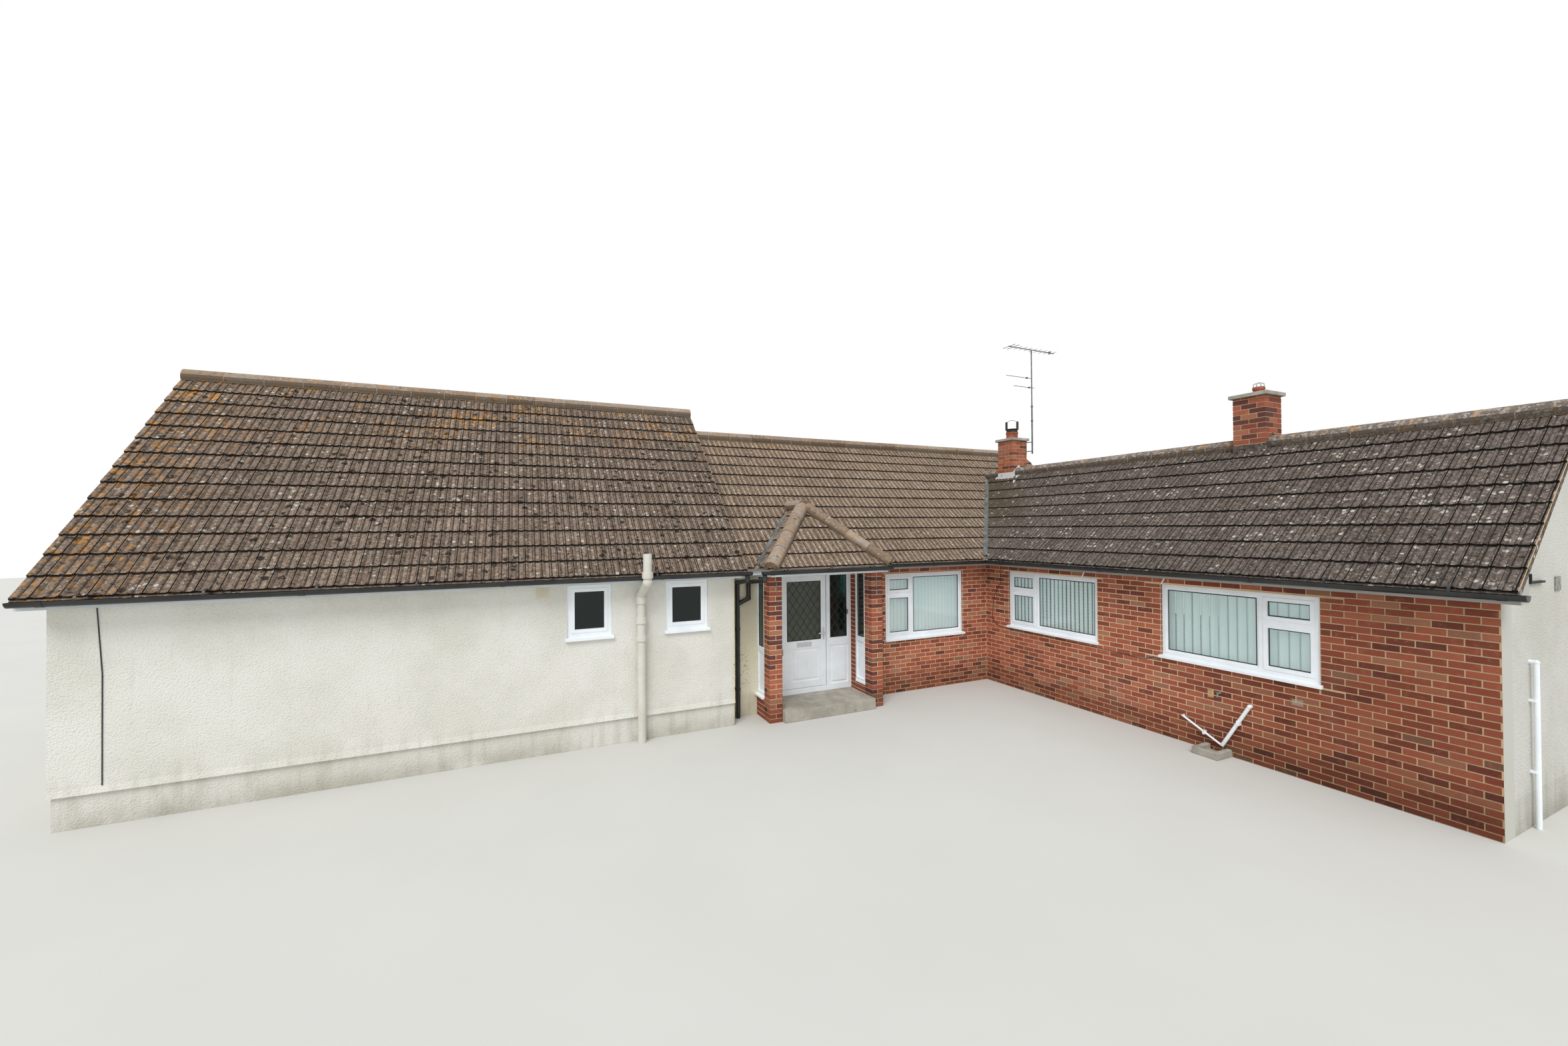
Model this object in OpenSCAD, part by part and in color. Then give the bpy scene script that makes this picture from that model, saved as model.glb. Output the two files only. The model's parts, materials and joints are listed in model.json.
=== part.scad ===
// Bungalow on a Z-shaped plan: a rendered left wing, a brick middle and a brick right wing,
// joined by a hipped porch. Millimetres, +X to the right along the front, +Y to the back, +Z up.
// The origin is the inside corner of the two brick walls, at the lowest ground level.

/* [Walls] */
// Thickness of the outer walls
wall_t = 260; // [200:5:320]
// Height of the house floor above the lowest ground
floor_z = 200; // [120:10:300]
// Depth of the left wing's front wall in front of the middle front wall
lw_step = 370; // [250:10:600]
// Width of the left wing over its end walls
lw_width = 7250; // [6000:50:9000]
// Depth of the left wing over its walls
lw_depth = 5860; // [5400:20:6400]
// Distance from the inside corner to the left wing's end wall
lw_right = 5360; // [5300:10:5600]
// Depth of the middle over its walls
mid_depth = 4900; // [4600:20:5200]
// Width of the right wing over its walls
rw_width = 3530; // [3300:10:4000]
// Length of the right wing in front of the middle
rw_length = 6550; // [6300:50:8000]
// Height of the drip line of the render above the lowest ground
drip_z = 345; // [300:5:450]
// How far the render stands out from the plinth
drip_out = 22; // [10:1:35]
// How far the render flares out at the drip line
bell_out = 14; // [5:1:30]
// Width of the doorway between the left wing and the middle
inner_door_w = 900; // [800:10:1000]
// Height of that doorway above the floor
inner_door_h = 2050; // [1950:10:2100]

/* [Roof] */
// Pitch of every slope, in degrees
pitch = 42.5; // [38:0.5:45]
// Height of the lower tile edge
eaves_z = 2368; // [2340:2:2420]
// Distance of the lower tile edge from the wall
eaves_out = 250; // [230:5:280]
// Thickness of tiles and deck together, square to the slope
roof_t = 70; // [50:5:90]
// Thickness of the tiles, square to the slope
tile_t = 22; // [15:1:30]
// Overhang of the left wing's tiles over its end walls
lw_verge = 125; // [80:5:180]
// Overhang of the right wing's tiles over its end wall
rw_verge = 170; // [80:5:200]
// Overhang of the middle roof's tiles over its end wall
mid_verge = 140; // [80:5:180]
// Outer radius of the half-round ridge tiles
ridge_r = 115; // [90:5:140]
// How far the centre of a ridge tile lies under the ridge line
ridge_drop = 45; // [30:1:60]

/* [Eaves] */
// Height of the lower edge of the fascia boards
fascia_z = 2245; // [2230:1:2270]
// How far the tiles stand out in front of the fascia boards
fascia_in = 50; // [30:1:70]
// Thickness of the fascia boards
board_t = 20; // [16:1:28]
// Thickness of the soffit boards
soffit_t = 12; // [9:1:18]
// How far the soffit lies above the lower edge of the fascia
soffit_up = 10; // [5:1:30]
// Radius of the gutters outside
gutter_r = 56; // [50:1:62]
// Height of the gutters' rim above the lower edge of the fascia
gutter_up = 92; // [80:1:105]
// How far the union sleeves stand out of the gutters
union_t = 4; // [2:0.5:6]
// Radius of the downpipes
pipe_r = 34; // [30:1:40]

/* [Porch] */
// Side of the square brick piers
pier = 215; // [200:5:240]
// Left face of the left pier, from the inside corner
porch_left = 4855; // [4800:5:4900]
// Right face of the right pier, from the inside corner
porch_right = 2790; // [2700:5:2850]
// Front face of the piers in front of the middle wall
porch_out = 530; // [450:10:650]
// Height of the porch floor
porch_z = 175; // [100:5:190]
// How far the porch floor stands out in front of the piers
porch_step = 100; // [60:5:150]
// Height of the porch's lower tile edge
porch_eaves_z = 2385; // [2370:1:2420]
// How far the porch tiles stand out from the piers at the sides
porch_side = 60; // [50:5:100]
// How far the porch tiles stand out from the piers at the front
porch_eave = 190; // [150:10:230]
// Thickness of the side screens' frames
screen_t = 60; // [50:1:80]
// Height of the brick base under the side screens
screen_z = 315; // [250:5:400]
// Height of the middle rail of the side screens
screen_rail_z = 1030; // [900:10:1200]
// Width of the side screens' bars
screen_w = 45; // [35:1:60]

/* [Door] */
// Left side of the door frame, from the inside corner
door_left = 4405; // [4350:5:4500]
// Right side of the frame of the side panel, from the inside corner
door_right = 2995; // [2950:5:3050]
// Distance of the frame's outer face behind the wall face
door_in = 150; // [100:5:180]
// Depth of the frame
frame_d = 70; // [64:1:80]
// Width of the frame's bars
frame_w = 68; // [55:1:80]
// Top of the door frame
door_top = 2240; // [2200:5:2280]
// Height of the threshold bar
threshold_h = 88; // [60:2:100]
// Width of the opening leaf
leaf_w = 834; // [780:2:860]
// Thickness of the leaf
leaf_t = 60; // [50:1:62]
// Gap round the leaf
leaf_gap = 6; // [5:0.5:8]
// Gap at the latch side, which the corner of the leaf needs as it swings
latch_gap = 9; // [8:0.5:12]
// Width of the leaf's stiles
stile_w = 92; // [80:1:110]
// Lower edge of the leaf's glass
leaf_glass_z = 1066; // [1000:2:1120]
// Radius of the hinge knuckles
knuckle_r = 8.5; // [7.5:0.5:8.5]
// Radius of the hinge pins
pin_r = 5; // [4:0.5:5.5]

/* [Windows] */
// Face width of a window's outer frame
win_w = 52; // [45:1:70]
// Face width of a sash
sash_w = 48; // [40:1:60]
// Face width of the bars between lights
bar_w = 50; // [40:1:70]
// Face width of the glazing bead of a fixed light
bead_w = 22; // [15:1:30]
// Depth of the window frames
win_d = 65; // [55:5:75]
// Distance of the window frames behind the wall face
win_in = 25; // [10:5:60]
// How far a sash stands out of its frame
sash_out = 8; // [4:1:15]
// Thickness of the glass
glass_t = 24; // [18:1:28]
// How far the sills stand out of the wall
sill_out = 45; // [30:5:70]
// Height of the sills
sill_h = 48; // [35:1:60]
// Length of a sill's horns beside the opening
horn = 25; // [10:1:40]

/* [Chimneys] */
// Side of the square chimney stacks
stack = 425; // [400:5:450]
// Distance of the stacks' middle from the inside corner, to the right
stack_mid = 1800; // [1750:5:1850]
// Distance of the front chimney's face from the inside corner, to the front
stack_front = 3947; // [3700:1:4200]
// Distance of the back chimney's face from the inside corner, to the back
stack_back = 815; // [700:5:900]
// Top of the chimney caps
cap_z = 4945; // [4850:5:5050]
// Thickness of the caps
cap_t = 55; // [40:1:80]
// How far the caps stand out of the stacks
cap_out = 42; // [30:1:60]
// Radius of the tall pot
pot_r = 130; // [110:1:150]
// Height of the tall pot
pot_h = 150; // [120:5:250]
// Height of the aerial's top boom
aerial_z = 6922; // [6500:1:7000]

/* [Hidden] */
$fn = 32;
t = wall_t;
rise = tan(pitch);
roof_v = roof_t / cos(pitch);
tile_v = tile_t / cos(pitch);
lw_l = -lw_right - lw_width;
lw_r = -lw_right;
lw_f = -lw_step;
lw_b = lw_f + lw_depth;
lw_mid = (lw_f + lw_b) / 2;
mid_b = mid_depth;
mid_mid = mid_depth / 2;
rw_r = rw_width;
rw_mid = rw_width / 2;
rw_f = -rw_length;
function ridge_z(half) = eaves_z + (half + eaves_out) * rise;
lw_ridge = ridge_z(lw_depth / 2);
mid_ridge = ridge_z(mid_mid);
rw_ridge = ridge_z(rw_mid);
// distance of the fascia's face and back from the wall, and of the deck's edge behind the tile edge
fascia_out = eaves_out - fascia_in;
fascia_back = fascia_out - board_t;
deck_in = fascia_in + board_t;
soffit_z = fascia_z + soffit_up;
gutter_z = fascia_z + gutter_up;
// height of the undersides of tiles and deck, at a distance d from the wall
function under_tile(d) = eaves_z + (eaves_out - d) * rise - tile_v;
function under_deck(d) = eaves_z + (eaves_out - d) * rise - roof_v;
// small clearance between pieces that lie on each other
seat = 0.4;
wall_z = under_deck(0) - seat;
// gap between runs of boards that meet
joint_gap = 0.5;
pl = -porch_left;
pr = -porch_right;
porch_cx = (pl + pr) / 2;
porch_half = (pr - pl) / 2 + porch_side;
porch_f = -porch_out;
porch_eave_y = porch_f - porch_eave;
porch_top = porch_eaves_z + porch_half * rise;
porch_fascia_y = porch_eave_y + fascia_in;
dl = -door_left;
dr = -door_right;
leaf_l = dl + frame_w + leaf_gap;
leaf_r = leaf_l + leaf_w;
sill_top = porch_z + threshold_h;
leaf_b = sill_top + leaf_gap;
leaf_top = door_top - frame_w - leaf_gap;
leaf_back = door_in + frame_d;
leaf_y = leaf_back - leaf_t;

// children drawn in (Y, Z) run along X
module along_x(x0, x1) translate([x0, 0, 0]) rotate([90, 0, 90]) linear_extrude(x1 - x0) children();
// children drawn in (X, Z) run along Y
module along_y(y0, y1) translate([0, y1, 0]) rotate([90, 0, 0]) linear_extrude(y1 - y0) children();
module box(x0, x1, y0, y1, z0, z1) translate([x0, y0, z0]) cube([x1 - x0, y1 - y0, z1 - z0]);
// upright round bar
module tube(x, y, z0, z1, r) translate([x, y, z0]) cylinder(h = z1 - z0, r = r);
// round bar from point a to point b
module bar(a, b, r, sides = 32) {
    d = b - a;
    translate(a) rotate([0, acos(d[2] / norm(d)), atan2(d[1], d[0])]) cylinder(h = norm(d), r = r, $fn = sides);
}
// pipe through a list of points, with round sockets at its bends
socket = 1.15;
module pipe(points, r) {
    for (i = [1:len(points) - 1]) bar(points[i - 1], points[i], r);
    if (len(points) > 2) for (i = [1:len(points) - 2]) translate(points[i]) sphere(r = r * socket);
}

// Section of one slope: tiles out to the edge at e, the deck behind the fascia, the ridge at r
module slope_2d(e, r) {
    b = e + sign(r - e) * deck_in;
    deck_z = eaves_z + deck_in * rise;
    top = eaves_z + abs(r - e) * rise;
    polygon([[e, eaves_z], [r, top], [r, top - roof_v], [b, deck_z - roof_v], [b, deck_z - tile_v],
        [e, eaves_z - tile_v]]);
}
// Everything under a roof's top surface, which may be raised
module under_2d(e0, r, e1, z = eaves_z, up = 0) {
    polygon([[e0, 0], [e0, z + up], [r, z + (r - e0) * rise + up], [e1, z + up], [e1, 0]]);
}
// Section of an end wall: the shape below the deck between the outer faces
module gable_2d(f, b) {
    m = (f + b) / 2;
    polygon([[f, 0], [f, wall_z], [m, wall_z + (m - f) * rise], [b, wall_z], [b, 0]]);
}
// Section of a wall under the eaves: its top follows the deck
module eaves_wall_2d(outer, inner) {
    polygon([[outer, 0], [inner, 0], [inner, wall_z + abs(inner - outer) * rise], [outer, wall_z]]);
}

// Floor

module floor_slab() color("#9a968c") {
    box(lw_l + t, lw_r - t, lw_f + t, lw_b - t, 0, floor_z);
    box(lw_r, rw_r - t, t, mid_b - t, 0, floor_z);
    box(t, rw_r - t, rw_f + t, t, 0, floor_z);
}

// Left wing. Its render hangs over a plinth and flares out at the drip line.

lw_win = [[-7746, -7160], [-6407, -5778]];
lw_win_z = [1528, 2236];
back_w = 1300;
back_z = [1100, 2142];
lw_back_win = [for (x = [lw_l + 1010, lw_r - 1440 - back_w]) [x, x + back_w]];
bell_h = 70;

module plinth_cut() difference() {
    box(lw_l - 100, lw_r + 1, lw_f - 100, lw_b + 100, -1, drip_z);
    box(lw_l + drip_out, lw_r + 2, lw_f + drip_out, lw_b - drip_out, -2, drip_z + 1);
}
// the flare at the drip line, round the three faces that are rendered down to the plinth
module bell() {
    along_x(lw_l, lw_r) polygon([[lw_f + 1, drip_z], [lw_f - bell_out, drip_z], [lw_f, drip_z + bell_h],
        [lw_f + 1, drip_z + bell_h]]);
    along_x(lw_l, lw_r) polygon([[lw_b - 1, drip_z], [lw_b + bell_out, drip_z], [lw_b, drip_z + bell_h],
        [lw_b - 1, drip_z + bell_h]]);
    along_y(lw_f, lw_b) polygon([[lw_l + 1, drip_z], [lw_l - bell_out, drip_z], [lw_l, drip_z + bell_h],
        [lw_l + 1, drip_z + bell_h]]);
}
// the part of the bell that belongs to a wall between y0 and y1
module bell_part(y0, y1) intersection() {
    bell();
    box(lw_l - 50, lw_r, y0, y1, 0, eaves_z);
}
module lw_front_wall() color("#d8ccb0") {
    difference() {
        along_x(lw_l, lw_r) eaves_wall_2d(lw_f, lw_f + t);
        plinth_cut();
        for (w = lw_win) box(w[0], w[1], lw_f - 1, lw_f + t + 1, lw_win_z[0] - sill_h, lw_win_z[1]);
    }
    bell_part(lw_f - 50, lw_f + t);
}
module lw_west_gable() color("#d6caae") {
    difference() {
        along_x(lw_l, lw_l + t) intersection() {
            gable_2d(lw_f, lw_b);
            translate([lw_f + t, 0]) square([lw_depth - 2 * t, lw_ridge]);
        }
        plinth_cut();
    }
    bell_part(lw_f + t, lw_b - t);
}
module lw_back_wall() color("#d6caae") {
    difference() {
        along_x(lw_l, lw_r) eaves_wall_2d(lw_b, lw_b - t);
        plinth_cut();
        for (w = lw_back_win) box(w[0], w[1], lw_b - t - 1, lw_b + 1, back_z[0] - sill_h, back_z[1]);
    }
    bell_part(lw_b - t, lw_b + 50);
}
module lw_east_gable() color("#d6caae") difference() {
    along_x(lw_r - t, lw_r) intersection() {
        gable_2d(lw_f, lw_b);
        translate([lw_f + t, 0]) square([lw_depth - 2 * t, lw_ridge]);
    }
    box(lw_r - t - 1, lw_r + 1, mid_mid - inner_door_w / 2, mid_mid + inner_door_w / 2, floor_z,
        floor_z + inner_door_h);
}

// Middle

mid_win = [-2360, -598];
mid_win_z = [985, 2142];
mid_back_w = 1700;
mid_back_win = [for (x = [lw_r + 960, rw_r - 2430 - mid_back_w]) [x, x + mid_back_w]];

module mid_front_wall() color("#a4533c") difference() {
    along_x(dr, t) eaves_wall_2d(0, t);
    box(mid_win[0], mid_win[1], -1, t + 1, mid_win_z[0] - sill_h, mid_win_z[1]);
}
module mid_rendered_wall() color("#d8ccb0") along_x(lw_r, dl) eaves_wall_2d(0, t);
module door_head() color("#d8ccb0") difference() {
    along_x(dl, dr) eaves_wall_2d(0, t);
    box(dl - 1, dr + 1, -1, t + 1, -1, door_top);
}
module mid_back_wall() color("#a4533c") difference() {
    along_x(lw_r, rw_r) eaves_wall_2d(mid_b, mid_b - t);
    for (w = mid_back_win) box(w[0], w[1], mid_b - t - 1, mid_b + 1, back_z[0] - sill_h, back_z[1]);
}
module mid_east_gable() color("#a4533c") along_x(rw_r - t, rw_r) intersection() {
    gable_2d(0, mid_b);
    square([mid_depth - t, mid_ridge]);
}

// Right wing

rw_win = [[-2400, -580], [-5205, -3400]];
rw_win_z = [1150, 2146];
module rw_courtyard_wall() color("#a4533c") difference() {
    along_y(rw_f, 0) eaves_wall_2d(0, t);
    for (w = rw_win) box(-1, t + 1, w[0], w[1], rw_win_z[0] - sill_h, rw_win_z[1]);
}
module rw_south_gable() color("#d2c9b4") along_y(rw_f, rw_f + t) intersection() {
    gable_2d(0, rw_r);
    translate([t, 0]) square([rw_width - 2 * t, rw_ridge]);
}
module rw_east_wall() color("#a4533c") difference() {
    along_y(rw_f, 0) eaves_wall_2d(rw_r, rw_r - t);
    for (w = rw_win) box(rw_r - t - 1, rw_r + 1, w[0], w[1], rw_win_z[0] - sill_h, rw_win_z[1]);
}

// Roofs. Each slope is a slab of tiles over a deck, cut where roofs meet.

tile_colour = "#6b5a4b";
module lw_slope(e) color(tile_colour) along_x(lw_l - lw_verge, lw_r + lw_verge) slope_2d(e, lw_mid);
module lw_roof_front() lw_slope(lw_f - eaves_out);
module lw_roof_back() lw_slope(lw_b + eaves_out);
module under_rw(up = 0) along_y(rw_f - rw_verge, mid_mid)
    under_2d(-eaves_out, rw_mid, rw_r + eaves_out, eaves_z, up);
module under_mid(up = 0) along_x(lw_r, rw_r + 2 * eaves_out)
    under_2d(-eaves_out, mid_mid, mid_b + eaves_out, eaves_z, up);
// Everything under the top surface of the porch's hipped roof, which may be raised
module under_porch(up = 0) intersection() {
    along_y(porch_eave_y, mid_mid)
        under_2d(porch_cx - porch_half, porch_cx, porch_cx + porch_half, porch_eaves_z, up);
    along_x(porch_cx - porch_half, porch_cx + porch_half) polygon([[porch_eave_y, 0],
        [porch_eave_y, porch_eaves_z + up], [mid_mid, porch_eaves_z + up + (mid_mid - porch_eave_y) * rise],
        [mid_mid, 0]]);
}
module mid_roof_front() color(tile_colour) difference() {
    along_x(lw_r, rw_r + mid_verge) slope_2d(-eaves_out, mid_mid);
    under_rw();
    under_porch();
}
module mid_roof_back() color(tile_colour) along_x(lw_r, rw_r + mid_verge) slope_2d(mid_b + eaves_out, mid_mid);
module stack_hole(gap) for (y = [-stack_front, stack_back])
    box(stack_mid - stack / 2 - gap, stack_mid + stack / 2 + gap, y - gap, y + stack + gap, 3000, cap_z);
module rw_slope(e) color(tile_colour) difference() {
    along_y(rw_f - rw_verge, mid_mid) slope_2d(e, rw_mid);
    under_mid();
    stack_hole(seat);
}
module rw_roof_west() rw_slope(-eaves_out);
module rw_roof_east() rw_slope(rw_r + eaves_out);
module porch_roof() color(tile_colour) difference() {
    union() {
        difference() {
            under_porch();
            under_porch(-tile_v);
        }
        intersection() {
            difference() {
                under_porch();
                under_porch(-roof_v);
            }
            box(pl, pr, porch_eave_y + deck_in, mid_mid, porch_eaves_z - roof_v, mid_ridge);
        }
    }
    under_mid();
    stand_off = 500;
    box(pl - stand_off, pr + stand_off, porch_eave_y - stand_off, mid_mid, -1, porch_eaves_z - roof_v);
}

// Half-round tiles over a ridge, seated on both slopes
module wedge_2d(c, z) {
    w = 2 * ridge_r;
    polygon([[c - w, z - w * rise], [c, z], [c + w, z - w * rise], [c + w, z - 2 * w], [c - w, z - 2 * w]]);
}
module ridge_x(x0, x1, y, z) difference() {
    translate([x0, y, z - ridge_drop]) rotate([90, 0, 90]) cylinder(h = x1 - x0, r = ridge_r);
    along_x(x0 - 1, x1 + 1) wedge_2d(y, z + seat);
}
module ridge_y(y0, y1, x, z) difference() {
    translate([x, y1, z - ridge_drop]) rotate([90, 0, 0]) cylinder(h = y1 - y0, r = ridge_r);
    along_y(y0 - 1, y1 + 1) wedge_2d(x, z + seat);
}
// where the right wing's ridge meets the middle's front slope
rw_meet = (rw_ridge - eaves_z) / rise - eaves_out;
flange = 150;
module ridge_tiles() color("#7d6552") {
    ridge_x(lw_l - lw_verge, lw_r + lw_verge, lw_mid, lw_ridge);
    ridge_x(lw_r + joint_gap, rw_r + mid_verge, mid_mid, mid_ridge);
    difference() {
        ridge_y(rw_f - rw_verge, rw_meet + ridge_r, rw_mid, rw_ridge);
        under_mid(seat);
        stack_hole(flange + seat);
    }
}
hip_tilt = atan(rise / sqrt(2));
hip_drop = 30;
// the hips stop below the short ridge, which runs back into the middle's slope
porch_apex_y = porch_eave_y + porch_half;
porch_back_y = (porch_top - eaves_z) / rise - eaves_out + ridge_r;
hip_start = 40;
hip_len = porch_half * sqrt(2 + rise * rise) - 2 * ridge_r - hip_start;
// section of the two slopes under a hip, square to it, with up towards -x
module hip_wedge_2d() {
    x = -hip_drop * cos(hip_tilt) - seat;
    w = 2 * ridge_r;
    low = x + w * sin(hip_tilt);
    polygon([[x, 0], [low, w], [low + w, w], [low + w, -w], [low, -w]]);
}
module hip(side) translate([porch_cx + side * porch_half, porch_eave_y, porch_eaves_z - hip_drop])
    rotate([0, 0, side > 0 ? 135 : 45]) rotate([0, 90 - hip_tilt, 0]) translate([0, 0, hip_start]) difference() {
        cylinder(h = hip_len, r = ridge_r);
        translate([0, 0, -1]) linear_extrude(hip_len + 2) hip_wedge_2d();
    }
module porch_ridge() translate([porch_cx, porch_back_y, porch_top - hip_drop]) rotate([90, 0, 0])
    cylinder(h = porch_back_y - porch_apex_y + 60, r = ridge_r);
module porch_hip_tiles() color("#7d6552") {
    hip(1);
    hip(-1);
    difference() {
        porch_ridge();
        under_porch(seat);
        under_mid(seat);
    }
}

// Lead: flashings round the stacks and strips in the valleys
lead_t = 3;
upstand = 130;
module rw_skin(low, high) difference() {
    under_rw(high);
    under_rw(low);
}
module stack_lead(y) difference() {
    union() {
        intersection() {
            rw_skin(seat, seat + lead_t);
            box(stack_mid - stack / 2 - flange, stack_mid + stack / 2 + flange, y - flange, y + stack + flange, 3000,
                cap_z);
        }
        intersection() {
            rw_skin(seat, upstand);
            box(stack_mid - stack / 2 - seat - lead_t, stack_mid + stack / 2 + seat + lead_t, y - seat - lead_t,
                y + stack + seat + lead_t, 3000, cap_z);
        }
    }
    stack_hole(seat);
    under_mid(seat);
}
valley_w = 180;
// upright plate over a valley line that runs from (x, y) at 45 degrees
module valley_plate(x, y, turn, len) translate([x, y, 0]) rotate([0, 0, turn])
    translate([0, -valley_w / 2, 0]) cube([len, valley_w, mid_ridge]);
module rw_valley() intersection() {
    difference() {
        union() {
            under_rw(seat + lead_t);
            under_mid(seat + lead_t);
        }
        under_rw(seat);
        under_mid(seat);
    }
    valley_plate(-eaves_out + 60, -eaves_out + 60, 45, (rw_mid + eaves_out) * sqrt(2) - 400);
}
porch_valley_y = (porch_eaves_z - eaves_z) / rise - eaves_out;
module porch_valleys() intersection() {
    difference() {
        union() {
            under_porch(seat + lead_t);
            under_mid(seat + lead_t);
        }
        under_porch(seat);
        under_mid(seat);
    }
    for (side = [-1, 1]) valley_plate(porch_cx + side * (porch_half - 20), porch_valley_y + 20, side < 0 ? 45 : 135,
        porch_half * sqrt(2) - 350);
}
module lead_work() color("#73777a") {
    stack_lead(-stack_front);
    stack_lead(stack_back);
    rw_valley();
    porch_valleys();
}

// Boxed eaves. A run lies along X with the wall face at y = 0 and stands out to +y.

module eaves_run(len, end_a = false, end_b = false) {
    along_x(0, len) polygon([[fascia_back, fascia_z], [fascia_out, fascia_z], [fascia_out, under_tile(fascia_out) - seat],
        [fascia_back, under_tile(fascia_back) - seat]]);
    along_x(0, len) polygon([[0, soffit_z], [fascia_back, soffit_z], [fascia_back, soffit_z + soffit_t],
        [0, soffit_z + soffit_t]]);
    if (end_a) box_end(0);
    if (end_b) box_end(len - board_t);
}
module box_end(x) along_x(x, x + board_t) polygon([[0, fascia_z], [fascia_out, fascia_z],
    [fascia_out, under_tile(fascia_out) - seat], [fascia_back, under_tile(fascia_back) - seat],
    [fascia_back, under_deck(fascia_back) - seat], [0, wall_z]]);
// the four sides on which a run stands: its left end is at (x, y) as seen from outside on the front and
// courtyard sides, and as seen from inside on the others
module run_front(x, y) translate([x, y, 0]) mirror([0, 1, 0]) children();
module run_back(x, y) translate([x, y, 0]) children();
module run_west(x, y) translate([x, y, 0]) rotate([0, 0, 90]) children();
module run_east(x, y) translate([x, y, 0]) rotate([0, 0, -90]) children();
lw_run = lw_width + 2 * lw_verge;
side_board = pl - board_t;
module eaves_boards() color("#e8e8e4") {
    run_front(lw_l - lw_verge, lw_f) eaves_run(lw_run, true, true);
    run_back(lw_l - lw_verge, lw_b) eaves_run(lw_run, true, true);
    run_front(lw_r + joint_gap, 0) eaves_run(side_board - lw_r - 2 * joint_gap);
    run_front(pr + board_t + joint_gap, 0) eaves_run(-fascia_out - pr - board_t - 2 * joint_gap);
    run_back(lw_r + joint_gap, mid_b) eaves_run(rw_r + mid_verge - lw_r - joint_gap, false, true);
    run_west(0, rw_f - rw_verge) eaves_run(rw_length + rw_verge - joint_gap, true);
    run_east(rw_r, 0) eaves_run(rw_length + rw_verge, false, true);
}
// height of the underside of the porch tiles at a distance d inside their edge
function under_porch_tile(d) = porch_eaves_z + d * rise - tile_v;
module porch_ceiling() color("#e8e8e4") intersection() {
    under_porch(-tile_v - seat);
    porch_boards();
}
module porch_boards() {
    box(pl, pr, porch_fascia_y, porch_fascia_y + board_t, fascia_z, under_porch_tile(deck_in));
    box(pl, pr, porch_fascia_y + board_t, -joint_gap, soffit_z, soffit_z + soffit_t);
    for (x = [pl - board_t, pr]) box(x, x + board_t, porch_fascia_y, -joint_gap, fascia_z,
        under_porch_tile(porch_side));
}

// Gutters: half-round channels with stop ends and union sleeves

gutter_t = 4;
go = fascia_out + gutter_r + union_t + seat;
union_w = 60;
union_step = 2000;
module half_channel(len, outer, inner, stop) difference() {
    rotate([0, 90, 0]) cylinder(h = len, r = outer);
    translate([stop, 0, 0]) rotate([0, 90, 0]) cylinder(h = len - 2 * stop, r = inner);
    translate([-1, -outer - 1, 0]) cube([len + 2, 2 * outer + 2, outer + 1]);
}
// a run along X from the origin, with its sleeves from the first one on
module gutter(len, first) {
    half_channel(len, gutter_r, gutter_r - gutter_t, gutter_t);
    for (x = [first:union_step:len - union_w - 10])
        translate([x, 0, 0]) half_channel(union_w, gutter_r + union_t, gutter_r - gutter_t / 2, 0);
}
module gutter_x(x0, x1, y, first = 600) translate([x0, y, gutter_z]) gutter(x1 - x0, first);
module gutter_y(y0, y1, x, first = 600) translate([x, y0, gutter_z]) rotate([0, 0, 90]) gutter(y1 - y0, first);
lw_gutter_r = lw_r + lw_verge + 60;
porch_gutter_y = porch_fascia_y - gutter_r - union_t - seat;
porch_gutter_l = pl - porch_side - 125;
module gutters() color("#1b1d1f") {
    gutter_x(lw_l - lw_verge, lw_gutter_r, lw_f - go, 190);
    gutter_x(lw_l - lw_verge, lw_gutter_r, lw_b + go);
    gutter_x(porch_gutter_l, pr + porch_side, porch_gutter_y, 140);
    gutter_x(pr + porch_side + 10, -go - gutter_r - union_t - 1, -go, 1200);
    gutter_x(lw_gutter_r + 20, rw_r + mid_verge, mid_b + go);
    gutter_y(rw_f - rw_verge - 60, -go + gutter_r, -go, 120);
    gutter_y(rw_f - rw_verge - 60, -fascia_out, rw_r + go, 120);
}

// Downpipes stand a little off the wall on clips
pipe_off = pipe_r + 20;
module clip(x, y, z, wall_y) {
    tube(x, y, z - 20, z + 20, pipe_r + 5);
    box(x - 45, x + 45, min(y, wall_y), max(y, wall_y), z - 12, z + 12);
}
main_x = lw_r + 165;
side_x = pl - 153;
swan_z = 2130;
outlet_z = gutter_z - gutter_r - seat;
outlet_h = 72;
// pipe up a wall at (x, y), out to the gutter's outlet at (gx, gy)
module down(x, y, gx, gy, z0 = 0) pipe([[x, y, z0], [x, y, swan_z], [gx, gy, outlet_z - outlet_h], [gx, gy, outlet_z]],
    pipe_r);
module downpipes() color("#1b1d1f") {
    down(main_x, -pipe_off, lw_gutter_r - 70, lw_f - go);
    down(side_x, -pipe_off, side_x, porch_gutter_y, 1874);
    bar([main_x, -pipe_off, 1784], [side_x, -pipe_off, 1874], pipe_r - 1);
    translate([side_x, -pipe_off, 1874]) sphere(r = pipe_r * socket);
    for (z = [450, 1400]) clip(main_x, -pipe_off, z, 0);
    down(lw_r - 100, lw_b + pipe_off, lw_r - 100, lw_b + go);
    for (z = [450, 1400]) clip(lw_r - 100, lw_b + pipe_off, z, lw_b);
    down(rw_r + pipe_off, rw_f + 150, rw_r + go, rw_f + 150);
    for (z = [450, 1400]) box(rw_r, rw_r + pipe_off, rw_f + 105, rw_f + 195, z - 12, z + 12);
}

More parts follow.
